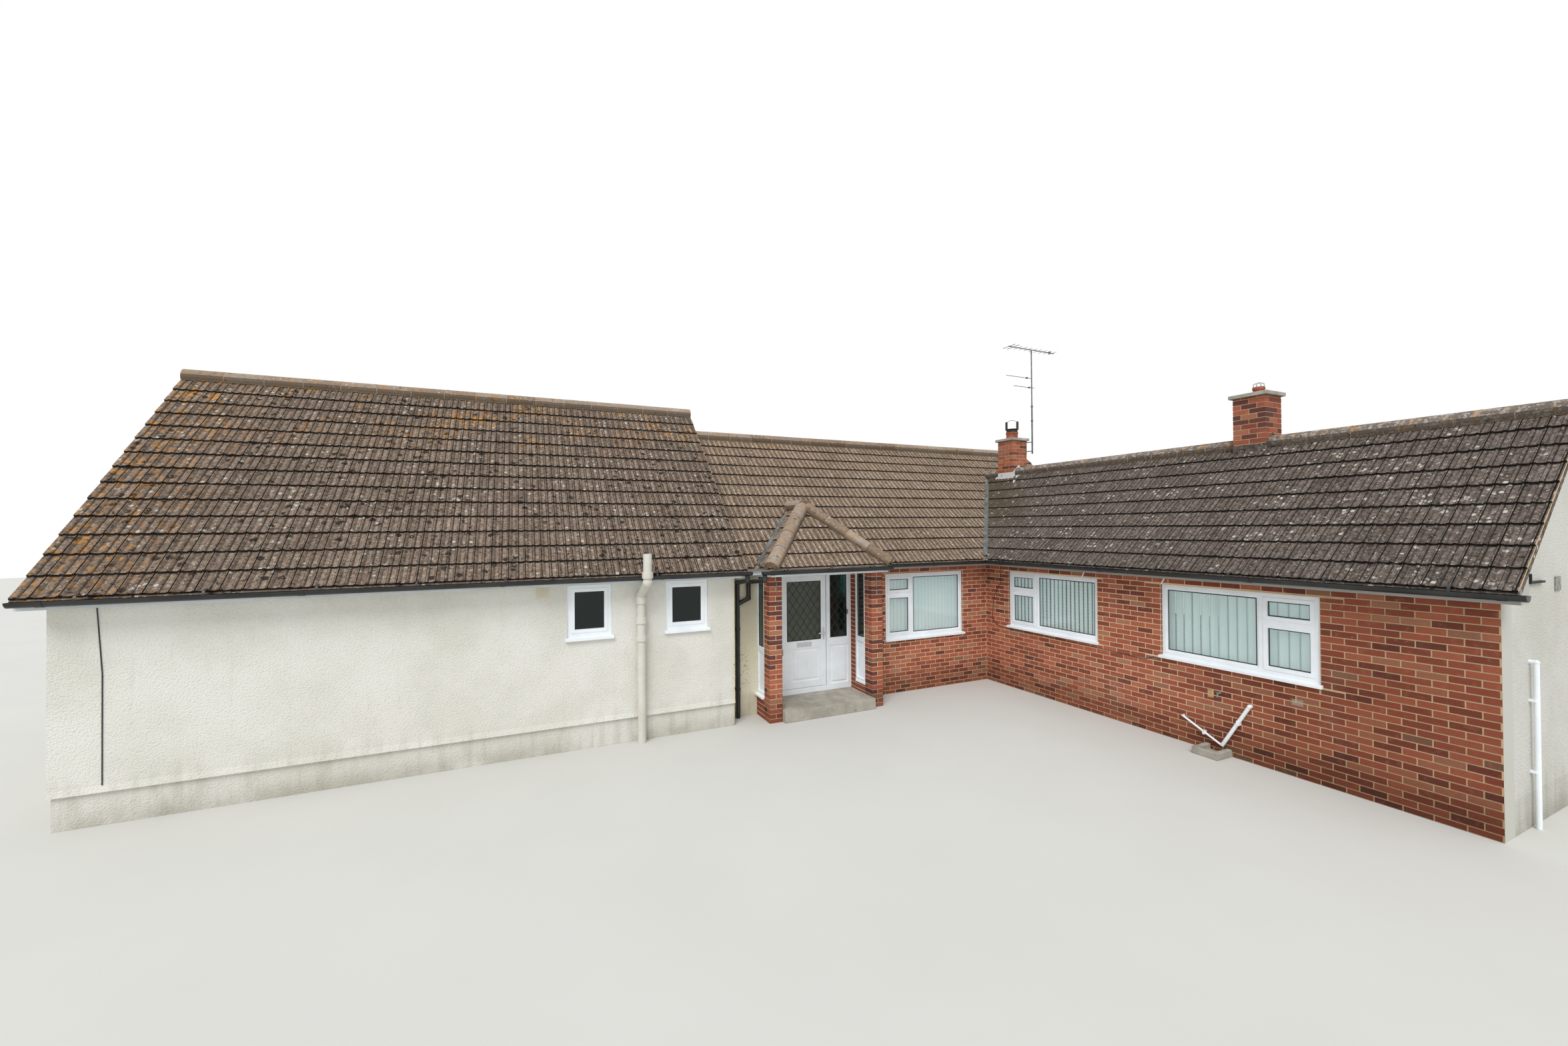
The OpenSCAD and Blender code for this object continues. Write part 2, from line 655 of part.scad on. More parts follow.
// Soil pipe with its bend at the eaves, and a wire guard on top
soil_x = -6770;
soil_r = 58;
collar_r = 74;
soil_y = lw_f - collar_r - 1;
soil_top_y = lw_f - fascia_out - gutter_r * 2 - 2 * union_t - collar_r - 3;
soil_top = 2652;
soil_bend = [2060, 2260];
module soil_pipe() color("#dcd0b6") difference() {
    union() {
        pipe([[soil_x, soil_y, 0], [soil_x, soil_y, soil_bend[0]], [soil_x + 25, soil_top_y, soil_bend[1]],
            [soil_x + 25, soil_top_y, soil_top]], soil_r);
        for (z = [[1420, 1500], [1666, 1754], [1942, 2040]]) tube(soil_x, soil_y, z[0], z[1], collar_r);
        tube(soil_x + 25, soil_top_y, 2319, 2404, collar_r);
    }
    tube(soil_x + 25, soil_top_y, soil_top - 150, soil_top + 1, soil_r - 5);
}
module soil_cage() color("#55585a") {
    cage(soil_x + 25, soil_top_y, soil_top - 20, 128, soil_r - 5 - 3);
}
// wire guard: bars from a ring up to a small ring on top
wire = 2.5;
module cage(x, y, z, h, r) translate([x, y, z]) {
    difference() {
        cylinder(h = 5, r = r + wire);
        translate([0, 0, -1]) cylinder(h = 7, r = r - wire);
    }
    for (a = [0:45:315]) {
        bar([r * cos(a), r * sin(a), 2], [r * cos(a), r * sin(a), h * 0.7], wire, 8);
        bar([r * cos(a), r * sin(a), h * 0.7], [0, 0, h], wire, 8);
    }
    translate([0, 0, h]) sphere(r = 2 * wire);
}

// Waste pipes on the right wing, each out of the wall and down to the gully
thin_r = 13;
thick_r = 22;
waste_x = -40;
gable_pipe_x = 690;
gable_pipe_y = rw_f - 45;
module waste_pipes() color("#e4e4e0") {
    pipe([[0, -3702, 371], [waste_x, -3702, 371], [waste_x, -4181, 125]], thin_r);
    pipe([[0, -4508, 708], [waste_x, -4508, 708], [waste_x, -4190, 120]], thick_r);
    box(waste_x - 16, 0, -3990, -3960, 200, 250);
    box(waste_x - 26, 0, -4400, -4370, 440, 500);
    pipe([[gable_pipe_x, rw_f, 1620], [gable_pipe_x, gable_pipe_y, 1620], [gable_pipe_x, gable_pipe_y, 0]], 21);
    for (z = [550, 1246]) box(gable_pipe_x - 32, gable_pipe_x + 32, gable_pipe_y, rw_f, z - 12, z + 12);
}
gully_y = [-4288, -3975];
kerb_t = 60;
kerb_h = 90;
gully_out = 320;
module gully_surround() color("#9a978e") difference() {
    box(-gully_out, 0, gully_y[0], gully_y[1], 0, kerb_h);
    box(-gully_out + kerb_t, 1, gully_y[0] + kerb_t, gully_y[1] - kerb_t, 20, kerb_h + 1);
}

// Porch

module porch_floor() color("#9a978e") {
    box(pl + pier, pr - pier, porch_f - porch_step, 0, 0, porch_z);
    box(pl + base_w, pl + pier, porch_f + pier, 0, 0, porch_z);
    box(dl, dr, 0, t, 0, porch_z);
}
module porch_piers() color("#a4533c") {
    for (x = [pl, pr - pier]) box(x, x + pier, porch_f, porch_f + pier, 0, soffit_z);
}
base_w = 100;
screen_in = 10;
screen_b = screen_z + 30;
screen_y = porch_f + pier;
module screen(x) difference() {
    box(x, x + screen_t, screen_y, 0, screen_b, soffit_z);
    box(x - 1, x + screen_t + 1, screen_y + screen_w, -screen_w, screen_rail_z + 80, soffit_z - screen_w);
    for (s = [x - 1, x + screen_t - 19])
        box(s, s + 20, screen_y + screen_w, -screen_w, screen_b + 60, screen_rail_z);
}
module porch_screens() color("#eceded") {
    screen(pl + screen_in);
    box(pl - 40, pl + 90, screen_y, 0, screen_z, screen_b);
    screen(pr - pier + screen_in);
    box(pr - pier, pr - pier + 90, screen_y, 0, screen_z, screen_b);
}
module screen_base() color("#a4533c") for (x = [pl, pr - pier]) box(x, x + base_w, screen_y, 0, 0, screen_z);

// Windows: an outer frame round one or three lights, and a sloping sill.
// Each is drawn with X along the wall, Y into the wall and Z up, from its lower left outer corner.

// The lights as [left, right, bottom, top, opens]; bar_x is the left face of the upright bar
function lights(w, h, bar_x, bar_z, left) = bar_x == 0 ? [[win_w, w - win_w, win_w, h - win_w, true]] :
    let (c = left ? [win_w, bar_x] : [bar_x + bar_w, w - win_w], f = left ? [bar_x + bar_w, w - win_w] : [win_w, bar_x])
    [[c[0], c[1], win_w, bar_z, true], [c[0], c[1], bar_z + bar_w, h - win_w, true],
    [f[0], f[1], win_w, h - win_w, false]];
module ring(l, width, y0, y1) difference() {
    box(l[0], l[1], y0, y1, l[2], l[3]);
    box(l[0] + width, l[1] - width, y0 - 1, y1 + 1, l[2] + width, l[3] - width);
}
bead_in = 14;
sill_nose = 14;
module window(w, h, bar_x = 0, bar_z = 0, left = true) {
    all = lights(w, h, bar_x, bar_z, left);
    difference() {
        cube([w, win_d, h]);
        for (l = all) box(l[0], l[1], -1, win_d + 1, l[2], l[3]);
    }
    for (l = all) if (l[4]) ring(l, sash_w, -sash_out, win_d - bead_in);
        else ring(l, bead_w, bead_in, win_d);
    nose = -win_in - sill_out;
    along_x(0, w) polygon([[nose, -sill_h], [nose, -sill_nose], [0, 0], [win_d, 0], [win_d, -sill_h]]);
    nose_z = -sill_nose * win_in / (win_in + sill_out);
    along_x(-horn, w + horn) polygon([[nose, -sill_h], [nose, -sill_nose], [-win_in, nose_z], [-win_in, -sill_h]]);
}
module panes(w, h, bar_x = 0, bar_z = 0, left = true) for (l = lights(w, h, bar_x, bar_z, left)) {
    e = l[4] ? sash_w : bead_w;
    box(l[0] + e, l[1] - e, win_d / 2 - glass_t / 2, win_d / 2 + glass_t / 2, l[2] + e, l[3] - e);
}
// a panel of upright slats behind a window, hung from a rail under the lintel
blind_in = 40;
rail_h = 40;
module blind(w, h) {
    box(20, w - 20, win_d + blind_in - 15, win_d + blind_in + 21, h - rail_h, h);
    box(30, w - 30, win_d + blind_in, win_d + blind_in + 6, 15, h - rail_h);
}
function span(w) = w[1] - w[0];
// the windows of each side: width, height, bar_x, bar_z and whether the opening lights are on the left
mid_lights = [span(mid_win), span(mid_win_z), 560, 764, true];
rw_lights = [[span(rw_win[0]), span(rw_win_z), 590, 614, true], [span(rw_win[1]), span(rw_win_z), 1184, 614, false]];
back_bar = [600, 690];
module place_lw(i) translate([lw_win[i][0], lw_f + win_in, lw_win_z[0]]) children();
module place_mid() translate([mid_win[0], win_in, mid_win_z[0]]) children();
module place_rw(i) translate([win_in, rw_win[i][1], rw_win_z[0]]) rotate([0, 0, -90]) children();
module place_east(i) translate([rw_r - win_in, rw_win[i][0], rw_win_z[0]]) rotate([0, 0, 90]) children();
module place_back(w, y) translate([w[1], y - win_in, back_z[0]]) rotate([0, 0, 180]) children();
module window_of(l) window(l[0], l[1], l[2], l[3], l[4]);
module panes_of(l) panes(l[0], l[1], l[2], l[3], l[4]);
function back_lights(w) = [span(w), span(back_z), back_bar[0], back_bar[1], true];
module lw_windows() color("#eceded") for (i = [0, 1]) place_lw(i) window(span(lw_win[i]), span(lw_win_z));
module mid_window() color("#eceded") place_mid() window_of(mid_lights);
module rw_windows() color("#eceded") for (i = [0, 1]) place_rw(i) window_of(rw_lights[i]);
module back_windows() color("#eceded") {
    for (i = [0, 1]) place_east(i) window_of(rw_lights[i]);
    for (w = mid_back_win) place_back(w, mid_b) window_of(back_lights(w));
    for (w = lw_back_win) place_back(w, lw_b) window_of(back_lights(w));
}
module window_blinds() color("#b9c4b6") {
    place_mid() blind(mid_lights[0], mid_lights[1]);
    for (i = [0, 1]) place_rw(i) blind(rw_lights[i][0], rw_lights[i][1]);
}
module window_glass() color("#596560", 0.5) {
    for (i = [0, 1]) place_lw(i) panes(span(lw_win[i]), span(lw_win_z));
    place_mid() panes_of(mid_lights);
    for (i = [0, 1]) place_rw(i) panes_of(rw_lights[i]);
    for (i = [0, 1]) place_east(i) panes_of(rw_lights[i]);
    for (w = mid_back_win) place_back(w, mid_b) panes_of(back_lights(w));
    for (w = lw_back_win) place_back(w, lw_b) panes_of(back_lights(w));
    box(side_l + side_bead, side_r - side_bead, side_glass_y, side_glass_y + glass_t, side_glass_z + side_bead,
        door_top - frame_w - side_bead);
    for (x = [pl + screen_in, pr - pier + screen_in]) box(x + 18, x + 18 + glass_t, screen_y + screen_w, -screen_w,
        screen_rail_z + 80, soffit_z - screen_w);
}

// Front door: a fixed frame with a glazed side panel, and a leaf hinged on its left

side_l = leaf_r + latch_gap + frame_w;
side_r = dr - frame_w;
side_glass_z = 1065;
side_glass_y = door_in + 20;
side_bead = 10;
side_panel = [sill_top + 60, 900];
module door_frame() color("#eceded") {
    difference() {
        box(dl, dr, door_in, leaf_back, porch_z, door_top);
        box(leaf_l - leaf_gap, leaf_r + latch_gap, door_in - 1, leaf_back + 1, sill_top, door_top - frame_w);
        box(side_l, side_r, door_in - 1, leaf_back + 1, side_glass_z, door_top - frame_w);
        difference() {
            box(side_l, side_r, door_in - 1, door_in + 14, side_panel[0] - 40, side_panel[1] + 40);
            box(side_l + 45, side_r - 45, door_in - 2, door_in + 15, side_panel[0], side_panel[1]);
        }
    }
    ring([side_l, side_r, side_glass_z, door_top - frame_w], side_bead, door_in + 12, leaf_back);
}
// hinges: their axis stands behind the leaf, over the gap at its left edge
hx = leaf_l - leaf_gap / 2;
hy = leaf_back + 9;
hinge_z = [leaf_b + 150, (leaf_b + leaf_top) / 2, leaf_top - 150];
flap_t = 4;
module frame_hinges() color("#c9c9c4") for (z = hinge_z) translate([hx, hy, z]) {
    box(-40, -10.5, leaf_back - hy, leaf_back - hy + flap_t, -48, 48);
    for (s = [[-48, -17], [17, 48]]) {
        tube(0, 0, s[0], s[1], knuckle_r);
        box(-10.5, 0, leaf_back - hy, leaf_back - hy + flap_t, s[0], s[1]);
    }
    tube(0, 0, -48, 48, pin_r);
}
module door_hinges() color("#c9c9c4") for (z = hinge_z) translate([hx, hy, z]) difference() {
    union() {
        box(10.5, 45, leaf_back - hy, leaf_back - hy + flap_t, -48, 48);
        tube(0, 0, -16, 16, knuckle_r);
        box(0, 10.5, leaf_back - hy, leaf_back - hy + flap_t, -16, 16);
    }
    tube(0, 0, -17, 17, pin_r + 0.3);
}
// the leaf has a panel below and glass above; each face of the panel steps in and out again
panel_z = [leaf_b + 156, 886];
panel_x = [leaf_l + 211, leaf_r - 183];
panel_cut = 9;
module panel_groove(y) difference() {
    box(panel_x[0] - 40, panel_x[1] + 40, y - panel_cut, y + panel_cut, panel_z[0] - 40, panel_z[1] + 40);
    box(panel_x[0], panel_x[1], y - panel_cut - 1, y + panel_cut + 1, panel_z[0], panel_z[1]);
}
module front_door() color("#eceded") difference() {
    box(leaf_l, leaf_r, leaf_y, leaf_back, leaf_b, leaf_top);
    box(leaf_l + stile_w, leaf_r - stile_w, leaf_y - 1, leaf_back + 1, leaf_glass_z, leaf_top - stile_w);
    panel_groove(leaf_y);
    panel_groove(leaf_back);
}
module front_door_glass() color("#596560", 0.5) box(leaf_l + stile_w, leaf_r - stile_w, leaf_y + 18,
    leaf_y + 18 + glass_t, leaf_glass_z, leaf_top - stile_w);
letter_x = leaf_l + 414;
letter_z = 1000;
lever_x = leaf_r - 45;
lever_z = 1175;
module lever(y, dir) {
    box(lever_x - 16, lever_x + 16, min(y, y + dir * 8), max(y, y + dir * 8), lever_z - 120, lever_z + 90);
    translate([lever_x, y, lever_z]) rotate([-90 * dir, 0, 0]) cylinder(h = 52, r = 10);
    box(lever_x - 120, lever_x + 10, min(y + dir * 44, y + dir * 58), max(y + dir * 44, y + dir * 58),
        lever_z - 9, lever_z + 9);
}
module door_furniture() color("#c9c9c4") {
    box(letter_x - 138, letter_x + 138, leaf_y - 8, leaf_y, letter_z - 38, letter_z + 38);
    box(letter_x - 118, letter_x + 118, leaf_y - 13, leaf_y - 8, letter_z - 20, letter_z + 20);
    lever(leaf_y, -1);
    lever(leaf_back, 1);
}

// Chimneys

module chimney_stacks() color("#9c4a38") for (y = [-stack_front, stack_back])
    box(stack_mid - stack / 2, stack_mid + stack / 2, y, y + stack, rw_ridge - 400, cap_z - cap_t);
module chimney_caps() color("#b9b9b2") for (y = [-stack_front, stack_back])
    box(stack_mid - stack / 2 - cap_out, stack_mid + stack / 2 + cap_out, y - cap_out, y + stack + cap_out,
        cap_z - cap_t, cap_z);
pot_y = [stack_back + stack / 2, -stack_front + stack / 2 - 30];
low_pot = [78, 100];
pot_wall = 22;
module pot(y, r, h) difference() {
    union() {
        tube(stack_mid, y, cap_z, cap_z + h, r - 8);
        tube(stack_mid, y, cap_z + h - 35, cap_z + h, r);
    }
    tube(stack_mid, y, cap_z + 20, cap_z + h + 1, r - pot_wall);
}
module chimney_pots() color("#a8583e") {
    pot(pot_y[0], pot_r, pot_h);
    pot(pot_y[1], low_pot[0], low_pot[1]);
}
// cowl: two curved plates on a ring, with a strap arched over them
cowl_r = 140;
cowl_h = 280;
cowl_z = 75;
plate_top = 235;
strap_w = 24;
module cowl_shell(h) difference() {
    cylinder(h = h, r = cowl_r);
    translate([0, 0, -1]) cylinder(h = h + 2, r = cowl_r - 4);
}
module strap_2d() {
    r = cowl_r - 2;
    polygon(concat([[r, cowl_z + 30]], [for (a = [0:15:180]) [r * cos(a), cowl_h - r + r * sin(a)]],
        [[-r, cowl_z + 30], [4 - r, cowl_z + 30]],
        [for (a = [180:-15:0]) [(r - 4) * cos(a), cowl_h - r + (r - 4) * sin(a)]], [[r - 4, cowl_z + 30]]));
}
module chimney_cowl() color("#2b2a29") translate([stack_mid, pot_y[0], cap_z + pot_h + seat]) {
    difference() {
        cylinder(h = cowl_z - 10, r = pot_r - 10);
        translate([0, 0, -1]) cylinder(h = cowl_z - 8, r = pot_r - 16);
    }
    translate([0, 0, cowl_z - 10]) difference() {
        cylinder(h = 10, r = cowl_r);
        translate([0, 0, -1]) cylinder(h = 12, r = pot_r - 16);
    }
    translate([0, 0, cowl_z]) intersection() {
        cowl_shell(plate_top - cowl_z);
        for (a = [135, 315]) rotate([0, 0, a]) translate([0, -cowl_r * 0.72, -1])
            cube([cowl_r + 1, cowl_r * 1.44, cowl_h]);
    }
    rotate([90, 0, 135]) translate([0, 0, -strap_w / 2]) linear_extrude(strap_w) strap_2d();
}
module chimney_cage() color("#b9bab6") cage(stack_mid, pot_y[1], cap_z + low_pot[1] + seat, 75, low_pot[0] - 10);

// Aerial: a mast clamped to the back stack, with a boom on top and two stay rods
mast_x = stack_mid + 300;
mast_y = stack_back - 80;
rod_r = 6;
module aerial() color("#6f7276") {
    tube(mast_x, mast_y, 4600, aerial_z - 80, 13);
    tube(mast_x, mast_y, 4600, 5656, 17);
    for (z = [5335, 5656]) tube(mast_x, mast_y, z - 18, z + 18, 24);
    for (z = [4660, 4860]) bar([mast_x, mast_y, z], [stack_mid + stack / 2 + 12, stack_back + 40, z], 10);
    box(stack_mid + stack / 2 + seat, stack_mid + stack / 2 + 16, stack_back + 10, stack_back + 70, 4600, cap_z - cap_t - 5);
    bar([1418, mast_y, aerial_z], [2806, mast_y, aerial_z], 10);
    tube(mast_x, mast_y, aerial_z - 90, aerial_z, 15);
    box(2650, 2686, mast_y - 20, mast_y + 20, aerial_z - 16, aerial_z + 30);
    bar([1350, mast_y, 6280], [mast_x, mast_y, 6280], rod_r);
    bar([1562, mast_y, 6073], [2186, mast_y, 6073], rod_r);
    for (p = [[1957, 6280], [2023, 6073]]) box(p[0] - 18, p[0] + 18, mast_y - 18, mast_y + 18, p[1] - 16, p[1] + 16);
    // the reflector at the left end of the boom and the folded bar beside it
    for (x = [1440, 1560]) bar([x, mast_y - 170, aerial_z], [x, mast_y + 170, aerial_z], rod_r);
    for (x = [1700:150:2750]) bar([x, mast_y - 120, aerial_z], [x, mast_y + 120, aerial_z], 4);
}

// Small fittings on the walls
hook_r = 9;
module wall_fittings() color("#b8b8b0") {
    // square vent on the left wing
    box(-8121, -7987, lw_f - 12, lw_f, 2085, 2234);
    for (z = [2105:24:2210]) box(-8108, -8000, lw_f - 18, lw_f - 12, z, z + 10);
    // tap
    bar([0, -4160, 790], [-70, -4160, 790], 13);
    bar([-70, -4160, 800], [-70, -4160, 740], 10);
    // hooks under the eaves of the right wing
    for (y = [-2135, -3413]) bar([-hook_r, y, 2150], [-43, y - 68, 2240], hook_r);
    // bars on the fronts of the piers
    box(-4743, -4731, porch_f - 10, porch_f, 1998, 2183);
    box(-2916, -2904, porch_f - 10, porch_f, 1979, 2168);
    // box on the inner face of the left pier, and the bell beside the door
    box(pl + pier, pl + pier + 25, porch_f + 20, porch_f + 90, 1010, 1100);
    box(-3085, -3061, door_in - 14, door_in, 1467, 1549);
    // bracket and plate on the right wing's end wall
    box(670, 1050, rw_f - 30, rw_f, 2383, 2403);
    box(670, 690, rw_f - 30, rw_f, 2403, 2483);
    box(1425, 1576, rw_f - 12, rw_f, 2276, 2422);
}

// Cables clipped to the walls, as points on the wall face
cable_r = 4;
rw_cable = [[-380, 2235], [-380, 1930], [-205, 1620], [-165, 1210], [-250, 1120], [-400, 1080], [-1656, 1063],
    [-2593, 1047], [-3158, 1031], [-3300, 1090]];
lw_cable = [[-12250, 2240], [-12210, 1550], [-12210, drip_z + bell_h]];
// band of half width w along a line of points
function across(a, b) = [a[1] - b[1], b[0] - a[0]] / norm(b - a);
function side_of(p, i) = i == 0 ? across(p[0], p[1]) : i == len(p) - 1 ? across(p[i - 1], p[i]) :
    (across(p[i - 1], p[i]) + across(p[i], p[i + 1])) / 2;
function band(p, w) = concat([for (i = [0:len(p) - 1]) p[i] + side_of(p, i) * w],
    [for (i = [len(p) - 1:-1:0]) p[i] - side_of(p, i) * w]);
module wall_cables() color("#1b1d1f") {
    along_x(-2 * cable_r, 0) polygon(band(rw_cable, cable_r));
    along_y(lw_f - 2 * cable_r, lw_f) polygon(band(lw_cable, cable_r));
}

floor_slab();
lw_front_wall();
lw_west_gable();
lw_back_wall();
lw_east_gable();
mid_front_wall();
mid_rendered_wall();
door_head();
mid_back_wall();
mid_east_gable();
rw_courtyard_wall();
rw_south_gable();
rw_east_wall();
lw_roof_front();
lw_roof_back();
mid_roof_front();
mid_roof_back();
rw_roof_west();
rw_roof_east();
porch_roof();
ridge_tiles();
porch_hip_tiles();
lead_work();
eaves_boards();
porch_ceiling();
gutters();
downpipes();
soil_pipe();
soil_cage();
waste_pipes();
gully_surround();
porch_floor();
porch_piers();
porch_screens();
screen_base();
lw_windows();
mid_window();
rw_windows();
back_windows();
window_glass();
window_blinds();
door_frame();
frame_hinges();
front_door();
door_hinges();
front_door_glass();
door_furniture();
chimney_stacks();
chimney_caps();
chimney_pots();
chimney_cowl();
chimney_cage();
aerial();
wall_fittings();
wall_cables();
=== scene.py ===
import bmesh
import bpy
import json
import random
from math import cos, floor, radians, sin, sqrt
from mathutils import Matrix, Vector


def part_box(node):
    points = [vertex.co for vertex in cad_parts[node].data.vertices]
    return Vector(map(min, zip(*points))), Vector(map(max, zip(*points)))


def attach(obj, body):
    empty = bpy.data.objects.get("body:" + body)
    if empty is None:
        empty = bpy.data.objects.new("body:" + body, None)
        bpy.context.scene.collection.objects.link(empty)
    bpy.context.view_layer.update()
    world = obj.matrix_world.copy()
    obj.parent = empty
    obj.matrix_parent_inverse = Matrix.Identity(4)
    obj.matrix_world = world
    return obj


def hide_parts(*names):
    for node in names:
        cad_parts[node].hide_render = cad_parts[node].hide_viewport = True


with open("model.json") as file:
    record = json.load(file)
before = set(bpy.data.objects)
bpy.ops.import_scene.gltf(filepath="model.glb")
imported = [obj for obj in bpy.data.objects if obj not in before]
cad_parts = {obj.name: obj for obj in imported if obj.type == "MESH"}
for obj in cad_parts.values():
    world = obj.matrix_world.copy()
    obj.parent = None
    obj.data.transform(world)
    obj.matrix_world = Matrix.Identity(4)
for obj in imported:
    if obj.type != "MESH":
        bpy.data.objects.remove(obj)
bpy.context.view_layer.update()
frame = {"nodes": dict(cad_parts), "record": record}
nodes = frame["nodes"]
print("frame loaded,", len(nodes), "nodes")


# Camera, light and floor

view = {"eye": (-8.3373, -8.6824, 2.9906), "yaw": 24.657, "pitch": 0.471, "roll": 0.4374,
        "focal": 868.0942, "width": 2351, "sensor": 36.0, "farthest": 300.0}
light = {"sunStrength": 1.75, "sunAngle": 30.0, "sunTurn": (31.3, -27.9, 0.0), "skyStrength": 0.84,
         "skyColour": (0.965, 0.985, 1.0)}
ground = {"centre": (-4.0, 0.0, -0.001), "reach": 60.0, "segments": 64, "colour": (205, 204, 199)}


def placeCamera():
    data = bpy.data.cameras.new("camera")
    data.sensor_width = view["sensor"]
    data.lens = view["sensor"] * view["focal"] / view["width"]
    data.clip_end = view["farthest"]
    camera = bpy.data.objects.new("camera", data)
    turn = Matrix.Rotation(radians(-view["yaw"]), 4, "Z") @ Matrix.Rotation(radians(90 + view["pitch"]), 4, "X")
    turn = turn @ Matrix.Rotation(radians(-view["roll"]), 4, "Z")
    camera.matrix_world = Matrix.Translation(Vector(view["eye"])) @ turn
    bpy.context.collection.objects.link(camera)
    bpy.context.scene.camera = camera
    bpy.context.scene.view_settings.view_transform = "Standard"


def shade(red, green, blue):
    return tuple(((c / 255 + 0.055) / 1.055) ** 2.4 for c in (red, green, blue))


# Shader maths: a Signal wraps one socket, and plain expressions on it add the nodes

class Signal:
    def __init__(self, tree, socket=None):
        self.tree = tree
        self.socket = socket

    def node(self, kind, settings=None, sockets=None, out=0):
        made = self.tree.nodes.new("ShaderNode" + kind)
        for key, value in (settings or {}).items():
            if key == "stops":
                ramp = made.color_ramp
                while len(ramp.elements) < len(value):
                    ramp.elements.new(0.5)
                for element, (position, colour) in zip(ramp.elements, value):
                    element.position = position
                    element.color = (*shade(*colour), 1.0)
            else:
                setattr(made, key, value)
        for key, value in (sockets or {}).items():
            self.plug(made.inputs[key], value)
        return Signal(self.tree, made.outputs[out])

    def plug(self, socket, value):
        if isinstance(value, Signal):
            self.tree.links.new(value.socket, socket)
        elif socket.type == "RGBA":
            socket.default_value = (*value, 1.0)
        else:
            socket.default_value = value

    def maths(self, operation, *others):
        return self.node("Math", {"operation": operation}, dict(enumerate((self, *others))))

    def __add__(self, other):
        return self.maths("ADD", other)

    def __sub__(self, other):
        return self.maths("SUBTRACT", other)

    def __rsub__(self, other):
        return self.maths("MULTIPLY_ADD", -1.0, other)

    def __mul__(self, other):
        return self.maths("MULTIPLY", other)

    def __truediv__(self, other):
        return self.maths("DIVIDE", other)

    def __mod__(self, other):
        return self.maths("FLOORED_MODULO", other)

    __radd__ = __add__
    __rmul__ = __mul__

    def band(self, low, high):
        return self.node("MapRange", {"interpolation_type": "SMOOTHSTEP"}, {0: self, 1: low, 2: high, 3: 0.0, 4: 1.0})

    def below(self, low, high):
        return 1 - self.band(low, high)

    def ramp(self, stops):
        return self.node("ValToRGB", {"stops": stops}, {0: self})

    def between(self, first, second, mode="MIX"):
        return self.node("Mix", {"data_type": "RGBA", "blend_type": mode}, {0: self, 6: first, 7: second}, 2)

    def blended(self, mask, tone):
        return mask.between(self, shade(*tone))

    def darkened(self, mask, factors):
        return mask.between(self, factors, "MULTIPLY")

    def stretched(self, x, y, z):
        return self.node("VectorMath", {"operation": "MULTIPLY"}, {0: self, 1: (x, y, z)})

    def axis(self, name):
        return self.node("SeparateXYZ", None, {0: self}, name)

    def noise(self, size, detail=3.0, roughness=0.55):
        return self.node("TexNoise", None, {"Vector": self, "Scale": 1 / size, "Detail": detail,
                                            "Roughness": roughness})

    def cells(self, size):
        return self.node("TexVoronoi", None, {"Vector": self, "Scale": 1 / size}, "Distance")

    def attribute(self, name):
        return self.node("Attribute", {"attribute_name": name}, None, "Fac")

    def bump(self, height, distance, strength=1.0):
        return self.node("Bump", None, {"Height": height, "Distance": distance, "Strength": strength})


def finish(name, painter, *looks, **constants):
    made = bpy.data.materials.new(name)
    made.use_nodes = True
    shader = made.node_tree.nodes["Principled BSDF"].inputs
    for socket, value in constants.items():
        shader[socket.replace("_", " ")].default_value = value
    place = Signal(made.node_tree).node("TexCoord", None, None, "Object")
    painter(place, shader, *looks)
    return made


def plugAll(place, shader, colour, roughness, normal=None):
    place.plug(shader["Base Color"], colour)
    place.plug(shader["Roughness"], roughness)
    if normal is not None:
        place.plug(shader["Normal"], normal)


# Finishes: tones are 0 to 255, shades are factors, and pairs are the places where a change begins and ends

renderLook = {"clean": (228, 226, 219), "dull": (216, 214, 204), "dirt": (132, 126, 104), "stain": (188, 184, 168),
              "scar": (118, 98, 58), "chipShade": (0.55, 0.53, 0.47), "paintedEndShade": (0.80, 0.80, 0.80),
              "creamShade": (0.96, 0.90, 0.72), "splashZ": (0.345, 0.62), "plinthZ": (0.330, 0.350),
              "footZ": (0.0, 0.24), "endWallY": (-6.5, -6.45), "returnX": (-5.42, -5.36), "returnFrontY": (-0.5, -0.4),
              "returnBackY": (0.3, 0.4), "scarX": (-5.05, -4.95), "scarFootZ": (0.4, 0.55), "scarTopZ": (0.95, 1.1)}


